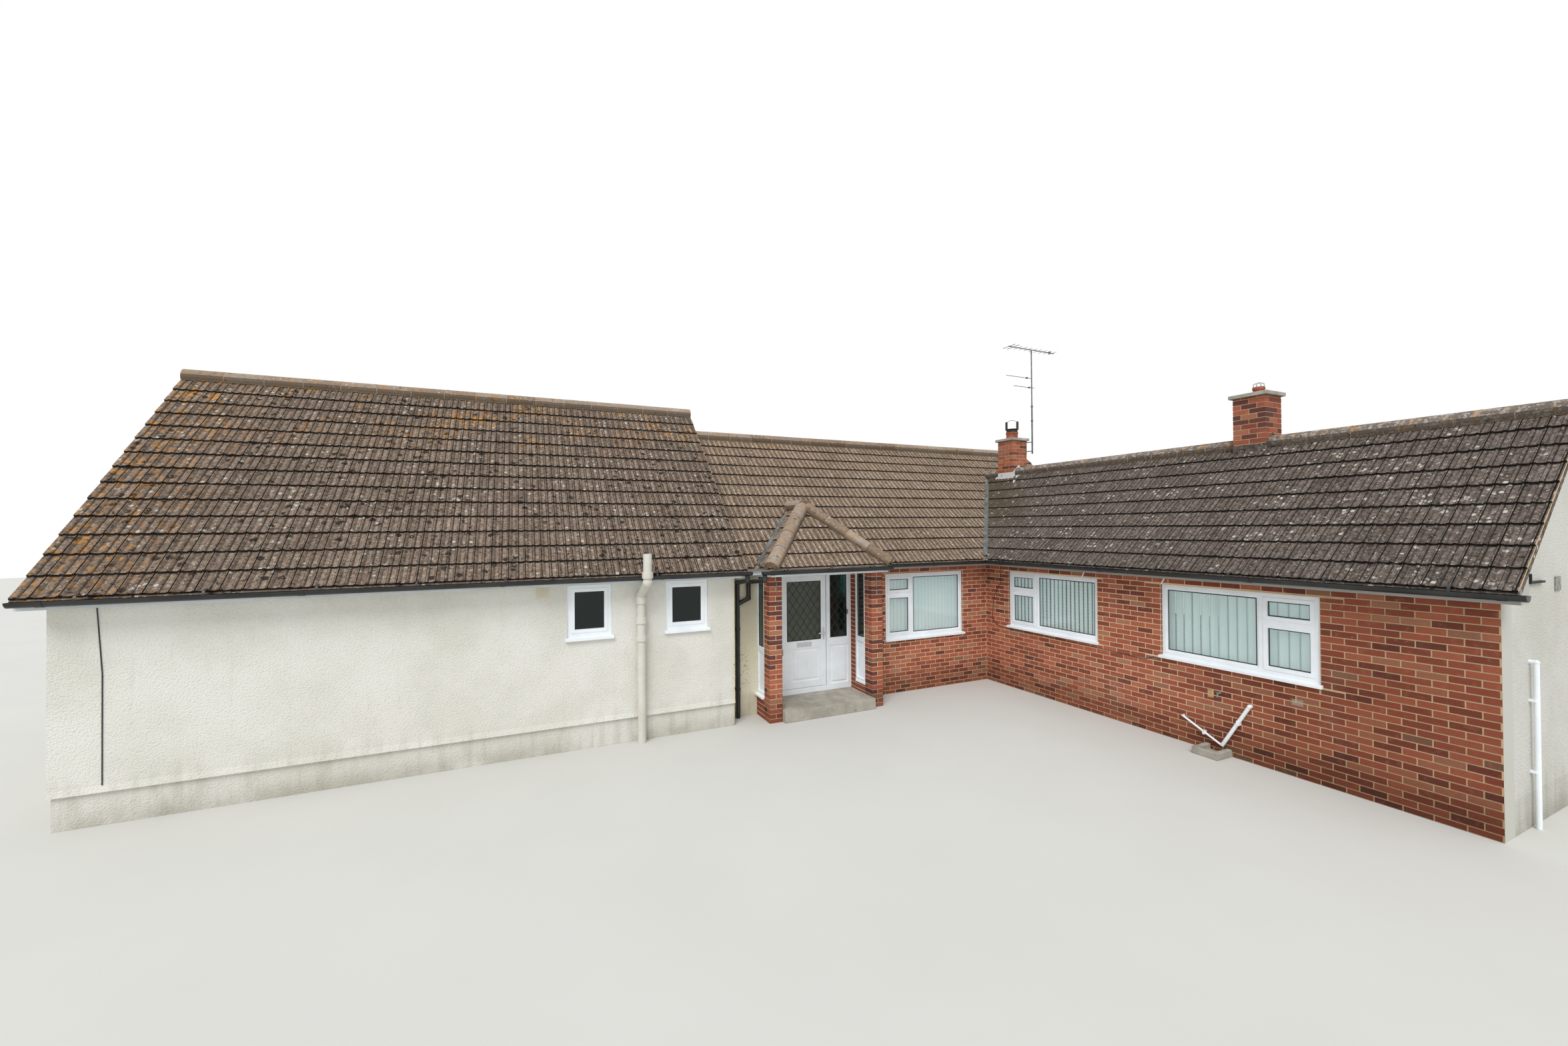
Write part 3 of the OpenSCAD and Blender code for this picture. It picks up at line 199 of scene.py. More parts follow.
def paintRender(place, shader):
    look = renderLook
    x, y, z = place.axis("X"), place.axis("Y"), place.axis("Z")
    broad = place.noise(0.9, 4, 0.6)
    streaks = place.stretched(1, 1, 0.12).noise(0.11, 4, 0.6)
    grains = place.noise(0.011, 2, 0.6)
    chips = place.cells(0.019)
    colour = broad.band(0.35, 0.7).between(shade(*look["clean"]), shade(*look["dull"]))
    colour = colour.blended(streaks.band(0.58, 0.85) * 0.25, look["stain"])
    colour = colour.blended(z.below(*look["splashZ"]) * streaks.band(0.45, 0.65) * 0.16, look["dirt"])
    colour = colour.blended(z.below(*look["plinthZ"]) * 0.12, look["dirt"])
    colour = colour.blended(z.below(*look["footZ"]) * broad.band(0.3, 0.6) * 0.4, look["dirt"])
    colour = colour.darkened(chips.band(0.55, 0.9) * 0.14, look["chipShade"])
    # painted shade: the south end wall is darkened to stand in for its shade
    colour = colour.darkened(y.below(*look["endWallY"]), look["paintedEndShade"])
    beside = x.band(*look["returnX"]) * y.below(*look["returnBackY"]) * y.band(*look["returnFrontY"])
    colour = colour.darkened(beside * 0.8, look["creamShade"])
    scars = beside * x.below(*look["scarX"]) * z.band(*look["scarFootZ"]) * z.below(*look["scarTopZ"])
    scars = scars * place.noise(0.045, 4, 0.7).band(0.55, 0.60)
    colour = colour.blended(scars * 0.8, look["scar"])
    plugAll(place, shader, colour, 0.86 + grains * 0.1, place.bump(grains * 0.6 - chips, 0.006, 0.9))


brickLook = {"tones": [(0.0, (108, 62, 53)), (0.08, (130, 70, 56)), (0.30, (150, 81, 62)), (0.55, (165, 91, 69)),
                       (0.80, (180, 105, 80)), (0.95, (172, 120, 94)), (1.0, (132, 96, 80))],
             "light": (202, 134, 100), "bloom": (176, 146, 128), "purple": (98, 63, 61),
             "speckShade": (0.55, 0.5, 0.48), "shadowAndAgeShade": (0.60, 0.55, 0.52), "dampShade": (0.42, 0.4, 0.37),
             "piersX": (-2.4, -2.2), "stacksZ": (4.2, 4.3), "farShadowY": (-5.0, -3.0), "farShadowZ": (1.1, 2.1),
             "dampZ": (0.12, 0.5), "courtyardX": (0.02, 0.05)}
wallMarks = [((-4.043, 0.753), (0.036, 0.049), (196, 162, 118)),  # sandy brick: middle, half size, tone
             ((-4.985, 0.885), (0.055, 0.035), (150, 144, 134)),  # mortar patch
             ((-4.938, 0.616), (0.018, 0.022), (112, 66, 38))]  # rust spot


def paintBrick(place, shader):
    look = brickLook
    x, y, z = place.axis("X"), place.axis("Y"), place.axis("Z")
    tone = place.attribute("tint")
    grain = place.noise(0.012, 4, 0.7)
    cloud = place.noise(0.07, 3)
    patches = place.noise(0.8, 3)
    colour = tone.ramp(look["tones"])
    colour = colour.blended(cloud.band(0.52, 0.78) * 0.35, look["light"])
    colour = colour.darkened(grain.band(0.5, 0.75) * 0.45, look["speckShade"])
    colour = colour.blended(patches.band(0.58, 0.72) * grain.band(0.35, 0.6) * 0.3, look["bloom"])
    old = x.below(*look["piersX"]).maths("MAXIMUM", z.band(*look["stacksZ"]))
    colour = colour.blended(tone.below(0.22, 0.42) * old * 0.75, look["purple"])
    # painted shadow: the far end of the courtyard wall is darkened, most towards the bottom; the old bricks of the
    # piers and stacks are a little darker too
    shadowAndAge = y.below(*look["farShadowY"]) * (1 - z.band(*look["farShadowZ"]) * 0.6) + old * 0.2
    colour = colour.darkened(shadowAndAge * 0.9, look["shadowAndAgeShade"])
    colour = colour.darkened(z.below(*look["dampZ"]) * (0.45 + patches * 0.4), look["dampShade"])
    wall = x.below(*look["courtyardX"])
    for (middleY, middleZ), (halfWide, halfHigh), markTone in wallMarks:
        across = (y - middleY).maths("ABSOLUTE") / halfWide
        along = (z - middleZ).maths("ABSOLUTE") / halfHigh
        mark = across.maths("MAXIMUM", along).below(0.8, 1.2) * wall
        colour = colour.blended(mark * 0.85, markTone)
    plugAll(place, shader, colour, 0.8 + grain * 0.12, place.bump(grain + cloud * 0.5, 0.0035, 0.8))


mortarLook = {"sand": [(0.3, (208, 184, 146)), (0.7, (240, 219, 182))], "patch": (170, 158, 140),
              "dampShade": (0.5, 0.47, 0.4), "shadowAndAgeShade": (0.66, 0.60, 0.55), "highShade": (0.66, 0.61, 0.56),
              "dampZ": (0.1, 0.6), "farShadowY": (-5.6, -3.4), "highZ": (3.9, 4.0)}


def paintMortar(place, shader):
    look = mortarLook
    z = place.axis("Z")
    grain = place.noise(0.006, 3, 0.7)
    patches = place.noise(0.6, 3)
    colour = grain.ramp(look["sand"])
    colour = colour.blended(patches.band(0.5, 0.7) * 0.4, look["patch"])
    colour = colour.darkened(z.below(*look["dampZ"]) * 0.65, look["dampShade"])
    # painted shadow: the mortar at the far end of the courtyard wall is darkened with its bricks
    colour = colour.darkened(place.axis("Y").below(*look["farShadowY"]) * 0.85, look["shadowAndAgeShade"])
    colour = colour.darkened(z.band(*look["highZ"]) * 0.85, look["highShade"])
    plugAll(place, shader, colour, 0.9, place.bump(grain, 0.002, 0.7))


revealLook = {"brick": [(0.3, (118, 64, 50)), (0.7, (154, 86, 66))], "mortar": (212, 190, 158), "firstJoint": 0.058,
              "course": 0.075, "joint": (0.009, 0.012), "wallEndY": (-6.549, -6.547)}


def paintReveal(place, shader):
    look = revealLook
    grain = place.noise(0.012, 4, 0.7)
    joint = ((place.axis("Z") - look["firstJoint"]) % look["course"]).band(*look["joint"])
    colour = grain.ramp(look["brick"]).blended(1 - joint, look["mortar"])
    plastered = place.axis("Y").below(*look["wallEndY"])  # the end of the courtyard wall is rendered
    colour = colour.blended(plastered, renderLook["dull"])
    # painted shade: the rendered end of the courtyard wall is darkened like the south end
    colour = colour.darkened(plastered, renderLook["paintedEndShade"])
    plugAll(place, shader, colour, 0.85, place.bump(grain * 0.3 + joint.maths("MAXIMUM", plastered), 0.004, 0.8))


warmTiles = {"tones": [(0.0, (78, 64, 52)), (0.35, (138, 118, 100)), (0.7, (172, 151, 131)), (1.0, (200, 182, 162))],
             "grime": (30, 24, 18), "flecks": 0.75, "moss": (0.63, 0.68), "blots": 0.25, "mossTone": (44, 38, 28),
             "lichen": 0.5, "green": 0.0}
leftTiles = {"tones": [(0.0, (58, 48, 40)), (0.35, (114, 98, 85)), (0.7, (151, 132, 116)), (1.0, (188, 170, 153))],
             "grime": (32, 26, 21), "flecks": 0.9, "moss": (0.59, 0.64), "blots": 0.92, "mossTone": (36, 30, 24),
             "lichen": 1.0, "green": 0.0}
greyTiles = {"tones": [(0.0, (45, 39, 34)), (0.35, (90, 80, 73)), (0.7, (126, 114, 106)), (1.0, (166, 155, 146))],
             "grime": (30, 26, 22), "flecks": 1.0, "moss": (0.60, 0.65), "blots": 0.35, "mossTone": (36, 31, 25),
             "lichen": 0.25, "green": 1.0}
everyTile = {"crust": (208, 203, 192), "fleck": (196, 190, 178), "orange": (196, 136, 56), "green": (74, 66, 34),
             "leftShade": (0.93, 0.93, 0.93), "leftX": (-12.0, -6.5), "leftZ": (4.4, 5.2),
             "pitShade": (0.5, 0.47, 0.44), "orangeZ": (4.0, 4.8), "vergeX": (-12.5, -11.4), "cornerX": (0.15, 0.9),
             "cornerReach": (1.5, 0.2)}


def paintTile(place, shader, look):
    x, y, z = place.axis("X"), place.axis("Y"), place.axis("Z")
    tone = place.attribute("tint")
    grime = place.attribute("grime")
    mottle = place.noise(0.040, 5, 0.7)
    fine = place.noise(0.011, 3, 0.75)
    broad = place.noise(0.9, 3)
    run = place.stretched(1, 1, 0.35).noise(0.05, 3)
    blobs = place.noise(0.06, 4, 0.7)
    colour = (mottle * 1.9 + fine * 0.9 + tone * 0.12 + broad * 0.3 - 1.12).ramp(look["tones"])
    colour = colour.darkened(x.below(*everyTile["leftX"]) * z.below(*everyTile["leftZ"]), everyTile["leftShade"])
    colour = colour.darkened(fine.band(0.52, 0.68) * 0.5, everyTile["pitShade"])
    colour = colour.blended(blobs.band(*look["moss"]) * 0.9, look["mossTone"])
    ragged = fine * 0.22 + place.cells(0.15)
    blots = ragged.below(0.34, 0.39) * place.noise(0.45, 2).band(0.42, 0.54)
    colour = colour.blended(blots * look["blots"], look["mossTone"])
    crusts = (place.cells(0.095) + mottle * 0.45).below(0.40, 0.48) * place.noise(0.4, 2).band(0.45, 0.55)
    small = place.cells(0.028).below(0.16, 0.32) * place.noise(0.1, 2).band(0.46, 0.56)
    colour = colour.blended(crusts * look["flecks"] * 0.85, everyTile["crust"])
    colour = colour.blended(small * look["flecks"] * 0.7, everyTile["fleck"])
    patchy = place.noise(0.9, 2).band(0.44, 0.58) * z.band(*everyTile["orangeZ"])
    patchy = (patchy + x.below(*everyTile["vergeX"]) * 0.7).maths("MINIMUM", 1.0)
    rust = place.noise(0.09, 5, 0.7).band(0.52, 0.60) * patchy
    colour = colour.blended(rust * look["lichen"] * 0.9, everyTile["orange"])
    # painted shade: the marked grooves, tile fronts and course bands are darkened for moss and for the shade that falls
    # in them
    colour = colour.blended((grime * (0.62 + run * 0.8)).maths("MINIMUM", 0.97), look["grime"])
    corner = (x - y).band(*everyTile["cornerReach"]) * x.band(*everyTile["cornerX"])
    colour = colour.blended(corner * mottle.band(0.42, 0.58) * look["green"] * 0.8, everyTile["green"])
    plugAll(place, shader, colour, 0.84 + fine * 0.12, place.bump(fine + blobs * 1.4, 0.006, 0.9))


ridgeLook = {"tones": [(0.0, (88, 76, 64)), (0.4, (136, 118, 101)), (0.7, (162, 148, 134)), (1.0, (194, 182, 168))],
             "spot": (205, 200, 188), "grey": (104, 97, 91), "crust": (186, 181, 172), "moss": (58, 52, 36),
             "rust": (176, 124, 56), "grime": (60, 50, 40), "greyX": (1.5, 1.6), "greyZ": (4.4, 4.5)}


def paintRidge(place, shader):
    look = ridgeLook
    mottle = place.noise(0.05, 5, 0.65)
    fine = place.noise(0.012, 3, 0.7)
    colour = (mottle * 0.8 + place.attribute("tint") * 0.35 - 0.08).ramp(look["tones"])
    spots = place.cells(0.05).below(0.16, 0.32) * place.noise(0.2, 2).band(0.5, 0.6)
    colour = colour.blended(spots * 0.7, look["spot"])
    grey = place.axis("X").band(*look["greyX"]) * place.axis("Z").below(*look["greyZ"])  # the right wing's ridge
    colour = colour.blended(grey * 0.75, look["grey"])
    colour = colour.blended(place.noise(0.05, 4, 0.75).band(0.50, 0.58) * grey * 0.75, look["crust"])
    colour = colour.blended(place.noise(0.08, 4, 0.7).band(0.6, 0.67) * 0.8, look["moss"])
    colour = colour.blended(place.noise(0.1, 5, 0.7).band(0.53, 0.62) * 0.5, look["rust"])
    # painted shade: the marked low strips are darkened for moss and the shadow along the bedding
    colour = colour.blended(place.attribute("grime") * (0.3 + mottle * 0.6), look["grime"])
    plugAll(place, shader, colour, 0.88, place.bump(fine + mottle, 0.004, 0.8))


leadLook = {"patina": [(0.3, (84, 86, 84)), (0.55, (112, 115, 112)), (0.75, (142, 144, 141))], "moss": (70, 62, 44),
            "paint": (222, 225, 228)}


def paintLead(place, shader):
    patina = place.noise(0.14, 5, 0.6)
    fine = place.noise(0.02, 3)
    moss = place.noise(0.06, 4, 0.7).band(0.56, 0.64)
    colour = patina.ramp(leadLook["patina"]).blended(moss * 0.7, leadLook["moss"])
    colour = colour.blended(place.attribute("painted") * patina.band(0.3, 0.42), leadLook["paint"])
    plugAll(place, shader, colour, 0.45 + fine * 0.3, place.bump(patina + fine * 0.3, 0.004, 0.6))


def paintPlastic(place, shader, clean, soilAndShade, roughness):
    cloud = place.noise(0.35, 4, 0.6)
    specks = place.noise(0.012, 3, 0.7)
    colour = cloud.ramp([(0.35, clean), (0.8, soilAndShade)]).blended(specks.band(0.62, 0.8) * 0.25, soilAndShade)
    plugAll(place, shader, colour, cloud * 0.15 + roughness, place.bump(specks, 0.0004, 0.5))


boardLook = {"paint": [(0.35, (224, 230, 234)), (0.8, (206, 210, 208))], "soilAndShade": (160, 156, 148),
             "rightX": (-2.80, -2.75), "backY": (4.85, 4.95), "backX": (-5.4, -5.37)}


def paintBoards(place, shader):
    look = boardLook
    x = place.axis("X")
    cloud = place.noise(0.35, 4, 0.6)
    # painted shade: the boards under the gutters east of the porch, and at the back, are dulled to stand in for their
    # shadow
    back = place.axis("Y").band(*look["backY"]) * x.band(*look["backX"])
    soilAndShade = x.band(*look["rightX"]).maths("MAXIMUM", back)
    colour = cloud.ramp(look["paint"]).blended(soilAndShade * 0.85, look["soilAndShade"])
    plugAll(place, shader, colour, cloud * 0.15 + 0.35, place.bump(cloud, 0.0004, 0.5))


concreteLook = {"tones": [(0.3, (128, 123, 113)), (0.55, (168, 162, 151)), (0.8, (192, 187, 177))],
                "moss": (92, 86, 62)}


def paintConcrete(place, shader):
    cloud = place.noise(0.25, 4, 0.6)
    grit = place.noise(0.008, 3, 0.7)
    colour = (cloud * 0.7 + grit * 0.4).ramp(concreteLook["tones"])
    colour = colour.blended(place.noise(0.09, 4, 0.7).band(0.6, 0.7) * 0.6, concreteLook["moss"])
    plugAll(place, shader, colour, 0.9, place.bump(grit - place.cells(0.03) * 0.3, 0.003, 0.8))


clayLook = [(0.3, (120, 66, 48)), (0.6, (166, 92, 66)), (0.8, (182, 128, 104))]


def paintClay(place, shader):
    cloud = place.noise(0.08, 4, 0.6)
    grit = place.noise(0.006, 3, 0.7)
    plugAll(place, shader, cloud.ramp(clayLook), 0.8, place.bump(grit + cloud, 0.002, 0.7))


def paintMetal(place, shader, clean, worn, roughness):
    cloud = place.noise(0.05, 4, 0.65)
    scratch = place.noise(0.006, 3, 0.7)
    colour = cloud.ramp([(0.35, clean), (0.7, worn)])
    plugAll(place, shader, colour, cloud * 0.2 + roughness, place.bump(scratch, 0.0005, 0.5))


blindLook = {"cloth": [(0.3, (224, 238, 234)), (0.7, (236, 246, 243))], "blueShade": (0.95, 1.0, 1.0),
             "slatGapShadow": (0.62, 0.70, 0.72), "weaveShade": (0.8, 0.8, 0.78), "blueY": (-3.3, -3.2)}


def paintBlind(place, shader):
    look = blindLook
    weave = place.stretched(1, 1, 0.5).noise(0.003, 2, 0.7)
    colour = place.noise(0.4, 3).ramp(look["cloth"])
    colour = colour.darkened(place.axis("Y").below(*look["blueY"]), look["blueShade"])
    # painted shadow: the slat edges are darkened for the shadow lines between the slats
    colour = colour.darkened(place.attribute("edge") * 0.6, look["slatGapShadow"])
    colour = colour.darkened(weave.band(0.5, 0.8) * 0.2, look["weaveShade"])
    plugAll(place, shader, colour, 0.85, place.bump(weave, 0.0006, 0.5))


glassLook = {"clear": (0.95, 0.985, 0.975), "dark": (0.025, 0.085, 0.075), "darkX": (-3.0, -2.9),
             "door": [(0.3, (116, 130, 114)), (0.7, (134, 147, 131))]}


def paintGlass(place, shader):
    # painted shade: the window glass west of x = -3 is tinted nearly black, standing in for the unlit rooms behind
    dark = place.axis("X").below(*glassLook["darkX"])
    colour = dark.between(glassLook["clear"], glassLook["dark"])
    plugAll(place, shader, colour, dark * 0.12 + 0.015, place.bump(place.noise(0.5, 2), 0.002, 0.2))


def paintDoorGlass(place, shader):
    ripple = place.noise(0.03, 3)
    plugAll(place, shader, ripple.ramp(glassLook["door"]), 0.10 + ripple * 0.06, place.bump(ripple, 0.002, 0.35))


fittingLook = {"metal": [(0.35, (150, 151, 148)), (0.7, (112, 108, 100))], "cream": (216, 208, 186),
               "hook": (232, 234, 234), "bracket": (34, 36, 38), "ventX": (-7.9, -7.8), "hookLeftX": (-0.35, -0.3),
               "hookRightX": (0.1, 0.15), "hookZ": (2.05, 2.1), "bracketLeftX": (0.5, 0.55),
               "bracketRightX": (1.15, 1.2), "bracketZ": (2.3, 2.35)}


def paintFitting(place, shader):
    look = fittingLook
    x, z = place.axis("X"), place.axis("Z")
    cloud = place.noise(0.05, 4, 0.65)
    colour = cloud.ramp(look["metal"]).blended(x.below(*look["ventX"]), look["cream"])
    hooks = x.band(*look["hookLeftX"]) * x.below(*look["hookRightX"]) * z.band(*look["hookZ"])
    colour = colour.blended(hooks, look["hook"])
    bracket = x.band(*look["bracketLeftX"]) * x.below(*look["bracketRightX"]) * z.band(*look["bracketZ"])
    colour = colour.blended(bracket, look["bracket"])
    plugAll(place, shader, colour, cloud * 0.2 + 0.5, place.bump(cloud, 0.0006, 0.5))


matt = {"Specular_IOR_Level": 0.25}
roughcast = finish("roughcast", paintRender, **matt)
brick = finish("brick", paintBrick, **matt)
mortar = finish("mortar", paintMortar, **matt)
reveal = finish("brick reveal", paintReveal, **matt)
warmTile = finish("warm brown tile", paintTile, warmTiles, **matt)
greyTile = finish("dark grey tile", paintTile, greyTiles, **matt)
leftTile = finish("dark brown tile", paintTile, leftTiles, **matt)
ridgeTile = finish("ridge tile", paintRidge, **matt)
lead = finish("lead", paintLead, Metallic=0.25)
whitePlastic = finish("white plastic", paintPlastic, (244, 249, 253), (228, 234, 238), 0.3)
creamPlastic = finish("cream pipe", paintPlastic, (214, 212, 203), (194, 189, 174), 0.45)
blackPlastic = finish("black plastic", paintPlastic, (24, 27, 29), (50, 53, 52), 0.3)
concrete = finish("concrete", paintConcrete, **matt)
clay = finish("clay pot", paintClay, **matt)
steel = finish("weathered steel", paintMetal, (128, 131, 132), (96, 92, 86), 0.4, Metallic=0.8)
darkMetal = finish("dark metal", paintMetal, (40, 39, 38), (66, 56, 48), 0.5, Metallic=0.4)
blind = finish("blind", paintBlind, Emission_Color=(0.76, 0.97, 1.0, 1.0), Emission_Strength=0.16,
               **matt)  # painted light: the blinds glow faintly, standing in for daylight reaching them from the rooms' other windows
fitting = finish("fitting", paintFitting, **matt)
boards = finish("painted boards", paintBoards)
glass = finish("window glass", paintGlass, Transmission_Weight=0.92, IOR=1.45, Specular_IOR_Level=0.3)
doorGlass = finish("door glass", paintDoorGlass, Transmission_Weight=0.75, IOR=1.45)
leadStrip = finish("lead strip", paintMetal, (58, 55, 47), (38, 36, 31), 0.6)
brightMetal = finish("bright metal", paintMetal, (216, 219, 222), (196, 198, 198), 0.3, Metallic=0.3)
gasketAndShadow = finish("black rubber and rebate shadow", paintPlastic, (34, 35, 36), (52, 52, 50), 0.6)

slotFinish = {"render": roughcast, "brick": reveal, "concrete": concrete, "roof_tile": warmTile, "ridge_tile": mortar,
              "white_plastic": whitePlastic, "black_plastic": blackPlastic, "cream_paint": creamPlastic,
              "glass": glass, "lead": lead, "terracotta": clay, "steel": steel, "dark_metal": darkMetal,
              "fabric": blind}
nodeFinish = {"front_door_glass": doorGlass, "door_furniture": brightMetal, "porch_hip_tiles": ridgeTile,
              "wall_fittings": fitting, "eaves_boards": boards}
for part in frame["record"]["subparts"]:
    data = nodes[part["node"]].data
    data.materials.clear()
    data.materials.append(nodeFinish.get(part["node"], slotFinish[part["material_slot"]]))
print("finishes made")


def lightScene():
    lamp = bpy.data.lights.new("sun", "SUN")
    lamp.energy = light["sunStrength"]
    lamp.angle = radians(light["sunAngle"])
    sun = bpy.data.objects.new("sun", lamp)
    sun.rotation_euler = [radians(a) for a in light["sunTurn"]]
    bpy.context.collection.objects.link(sun)
    world = bpy.data.worlds.new("world")
    bpy.context.scene.world = world
    world.use_nodes = True
    tree = world.node_tree
    sky = tree.nodes["Background"]
    sky.inputs["Color"].default_value = (*light["skyColour"], 1.0)
    sky.inputs["Strength"].default_value = light["skyStrength"]
    start = Signal(tree)
    path = start.node("LightPath")
    rays = path.socket.node.outputs
    seen = Signal(tree, rays["Is Camera Ray"]) + Signal(tree, rays["Is Glossy Ray"])
    seen = (seen + Signal(tree, rays["Is Transmission Ray"])).maths("MINIMUM", 1.0)
    white = start.node("Background", None, {"Color": (1.0, 1.0, 1.0), "Strength": 1.0})
    mixed = start.node("MixShader", None, {0: seen, 1: Signal(tree, sky.outputs[0]), 2: white})
    start.plug(tree.nodes["World Output"].inputs["Surface"], mixed)


def paintGround(place, shader):
    cloud = place.noise(1.5, 2)
    pale = ground["colour"]
    colour = cloud.ramp([(0.3, pale), (0.7, tuple(c + 3 for c in pale))])
    plugAll(place, shader, colour, 0.9)


def layFloor():
    mesh = bmesh.new()
    bmesh.ops.create_circle(mesh, cap_ends=True, segments=ground["segments"], radius=ground["reach"])
    bmesh.ops.translate(mesh, verts=mesh.verts, vec=ground["centre"])
    data = bpy.data.meshes.new("floor")
    mesh.to_mesh(data)
    mesh.free()
    data.materials.append(finish("floor", paintGround, **matt))
    floorPiece = bpy.data.objects.new("floor", data)
    bpy.context.collection.objects.link(floorPiece)


placeCamera()
lightScene()
layFloor()
print("camera, light and floor placed")


# Helpers for pieces

def newPiece(name, mesh, finishes, body="house", stands=(), smooth=False):
    data = bpy.data.meshes.new(name)
    if smooth:
        for face in mesh.faces:
            face.smooth = True
    mesh.to_mesh(data)
    mesh.free()
    for made in finishes:
        data.materials.append(made)
    piece = bpy.data.objects.new(name, data)
    bpy.context.collection.objects.link(piece)
    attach(piece, body)
    if stands:
        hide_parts(*stands)


def startPiece(seed, *layers):
    mesh = bmesh.new()
    return random.Random(seed), mesh, *(mesh.faces.layers.float.new(name) for name in layers)


def vertsIn(geom):
    return [g for g in geom if isinstance(g, bmesh.types.BMVert)]


def facesIn(geom):
    return [g for g in geom if isinstance(g, bmesh.types.BMFace)]


def facesOf(verts):
    return {f for v in verts for f in v.link_faces}


def block(mesh, centre, size):
    place = Matrix.Translation(centre) @ Matrix.Diagonal((*size, 1))
    return bmesh.ops.create_cube(mesh, size=1.0, matrix=place)["verts"]


def roundEdges(mesh, edges, width, segments=2, clamp=False):
    bmesh.ops.bevel(mesh, geom=edges, offset=width, offset_type="OFFSET", affect="EDGES", segments=segments,
                    profile=0.5, material=-1, clamp_overlap=clamp)


def liesAlongX(lo, hi):
    return hi.x - lo.x > hi.y - lo.y


def copyOf(node):
    mesh = bmesh.new()
    mesh.from_mesh(nodes[node].data)
    bmesh.ops.remove_doubles(mesh, verts=mesh.verts, dist=0.00002)
    mesh.normal_update()
    return mesh


def solidBoxes(node):  # the box of each separate solid in a node
    mesh = copyOf(node)
    left = set(mesh.verts)
    boxes = []
    while left:
        group = [left.pop()]
        for vert in group:
            for edge in vert.link_edges:
                other = edge.other_vert(vert)
                if other in left:
                    left.remove(other)
                    group.append(other)
        corners = [v.co for v in group]
        boxes.append((Vector(map(min, zip(*corners))), Vector(map(max, zip(*corners)))))
    mesh.free()
    return sorted(boxes, key=lambda box: tuple(box[0]))


def around(faces):
    geom = set(faces)
    for face in faces:
        geom.update(face.edges)
        geom.update(face.verts)
    return list(geom)


def cut(mesh, faces, point, normal, drop=False):
    return bmesh.ops.bisect_plane(mesh, geom=around(faces), plane_co=point, plane_no=normal, dist=1e-6,
                                  clear_outer=drop)


# Brickwork: each wall face is cut into courses and bricks, and each brick stands out of its mortar

bond = {"start": 0.063, "course": 0.075, "brick": 0.225, "rim": 0.0055, "arris": 0.0016, "proud": 0.004,
        "mortar": 0.0008, "uneven": 0.0008, "least": 0.018, "top": 2.26, "horn": 0.025, "aroundHole": (0.12, 0.04)}
upward = Vector((0, 0, 1))


def cutHole(mesh, ua, ub, va, vb):
    def within(spareU, spareV):
        return [f for f in mesh.faces if ua - spareU < f.calc_center_median().x < ub + spareU
                and va - spareV < f.calc_center_median().y < vb + spareV]
    for point, normal in (((ua, 0, 0), (1, 0, 0)), ((ub, 0, 0), (1, 0, 0)),
                          ((0, va, 0), (0, 1, 0)), ((0, vb, 0), (0, 1, 0))):
        cut(mesh, within(*bond["aroundHole"]), point, normal)
    bmesh.ops.delete(mesh, geom=within(0, 0), context="FACES")


def brickFace(name, corner, across, span, joints, holes=(), corners=(0, 0), slopes=(), top=bond["top"], seed=1):
    rnd, mesh, tint = startPiece(seed, "tint")
    reach = bond["rim"] + bond["arris"] + bond["proud"]
    u0, u1 = span[0] - corners[0] * reach, span[1] + corners[1] * reach
    mesh.faces.new([mesh.verts.new(p) for p in ((u0, 0, 0), (u1, 0, 0), (u1, top, 0), (u0, top, 0))])
    for k in range(int((top - bond["start"]) / bond["course"]) + 1):
        cut(mesh, mesh.faces, (0, bond["start"] + k * bond["course"], 0), (0, 1, 0))
    bmesh.ops.split_edges(mesh, edges=mesh.edges[:])
    for row in list(mesh.faces):
        k = floor((row.calc_center_median().y - bond["start"]) / bond["course"])
        first = joints[k % 2] + bond["brick"] * floor((u0 - joints[k % 2]) / bond["brick"])
        geom = around([row])
        for i in range(1, int((u1 - first) / bond["brick"]) + 1):
            geom = bmesh.ops.bisect_plane(mesh, geom=geom, plane_co=(first + i * bond["brick"], 0, 0),
                                          plane_no=(1, 0, 0), dist=1e-6)["geom"]
    for hole in holes:
        cutHole(mesh, *hole)
    bricks = []
    for face in mesh.faces:
        face[tint] = rnd.random()
        xs = [v.co.x for v in face.verts]
        ys = [v.co.y for v in face.verts]
        if min(max(xs) - min(xs), max(ys) - min(ys)) > bond["least"]:
            bricks.append(face)
    bmesh.ops.inset_individual(mesh, faces=bricks, thickness=bond["rim"], use_even_offset=True)
    for face in bricks:
        face.material_index = 1
    bmesh.ops.inset_individual(mesh, faces=bricks, thickness=bond["arris"], depth=bond["proud"],
                               use_even_offset=True)
    for face in bricks:
        lift = rnd.uniform(-1, 1) * bond["uneven"]
        for vert in face.verts:
            vert.co.z += lift
    for vert in mesh.verts:
        vert.co.z += bond["mortar"]
    for side, limit in ((-1, span[0]), (1, span[1])):
        if corners[side > 0]:
            cut(mesh, mesh.faces, (limit + side * bond["proud"], 0, 0), (side, 0, 0), True)
    for point, normal in slopes:
        cut(mesh, mesh.faces, point, normal, True)
    out = Vector(across).cross(upward)
    turn = Matrix((across, upward, out)).transposed().to_4x4()
    mesh.transform(Matrix.Translation(corner) @ turn)
    newPiece(name, mesh, [mortar, brick])


def windowHoles(node, along, sign, wanted=lambda lo: True):  # as wide as the window between the horns of its sill
    holes = []
    for lo, hi in solidBoxes(node):
        if wanted(lo):
            a, b = sorted((sign * lo[along], sign * hi[along]))
            holes.append((a + bond["horn"], b - bond["horn"], lo.z, hi.z))
    return holes


def inEastWall(lo):
    return lo.x > house["eastX"]


def inMiddleBackWall(lo):
    return lo.x < house["eastX"] and lo.y < house["leftBackY"]


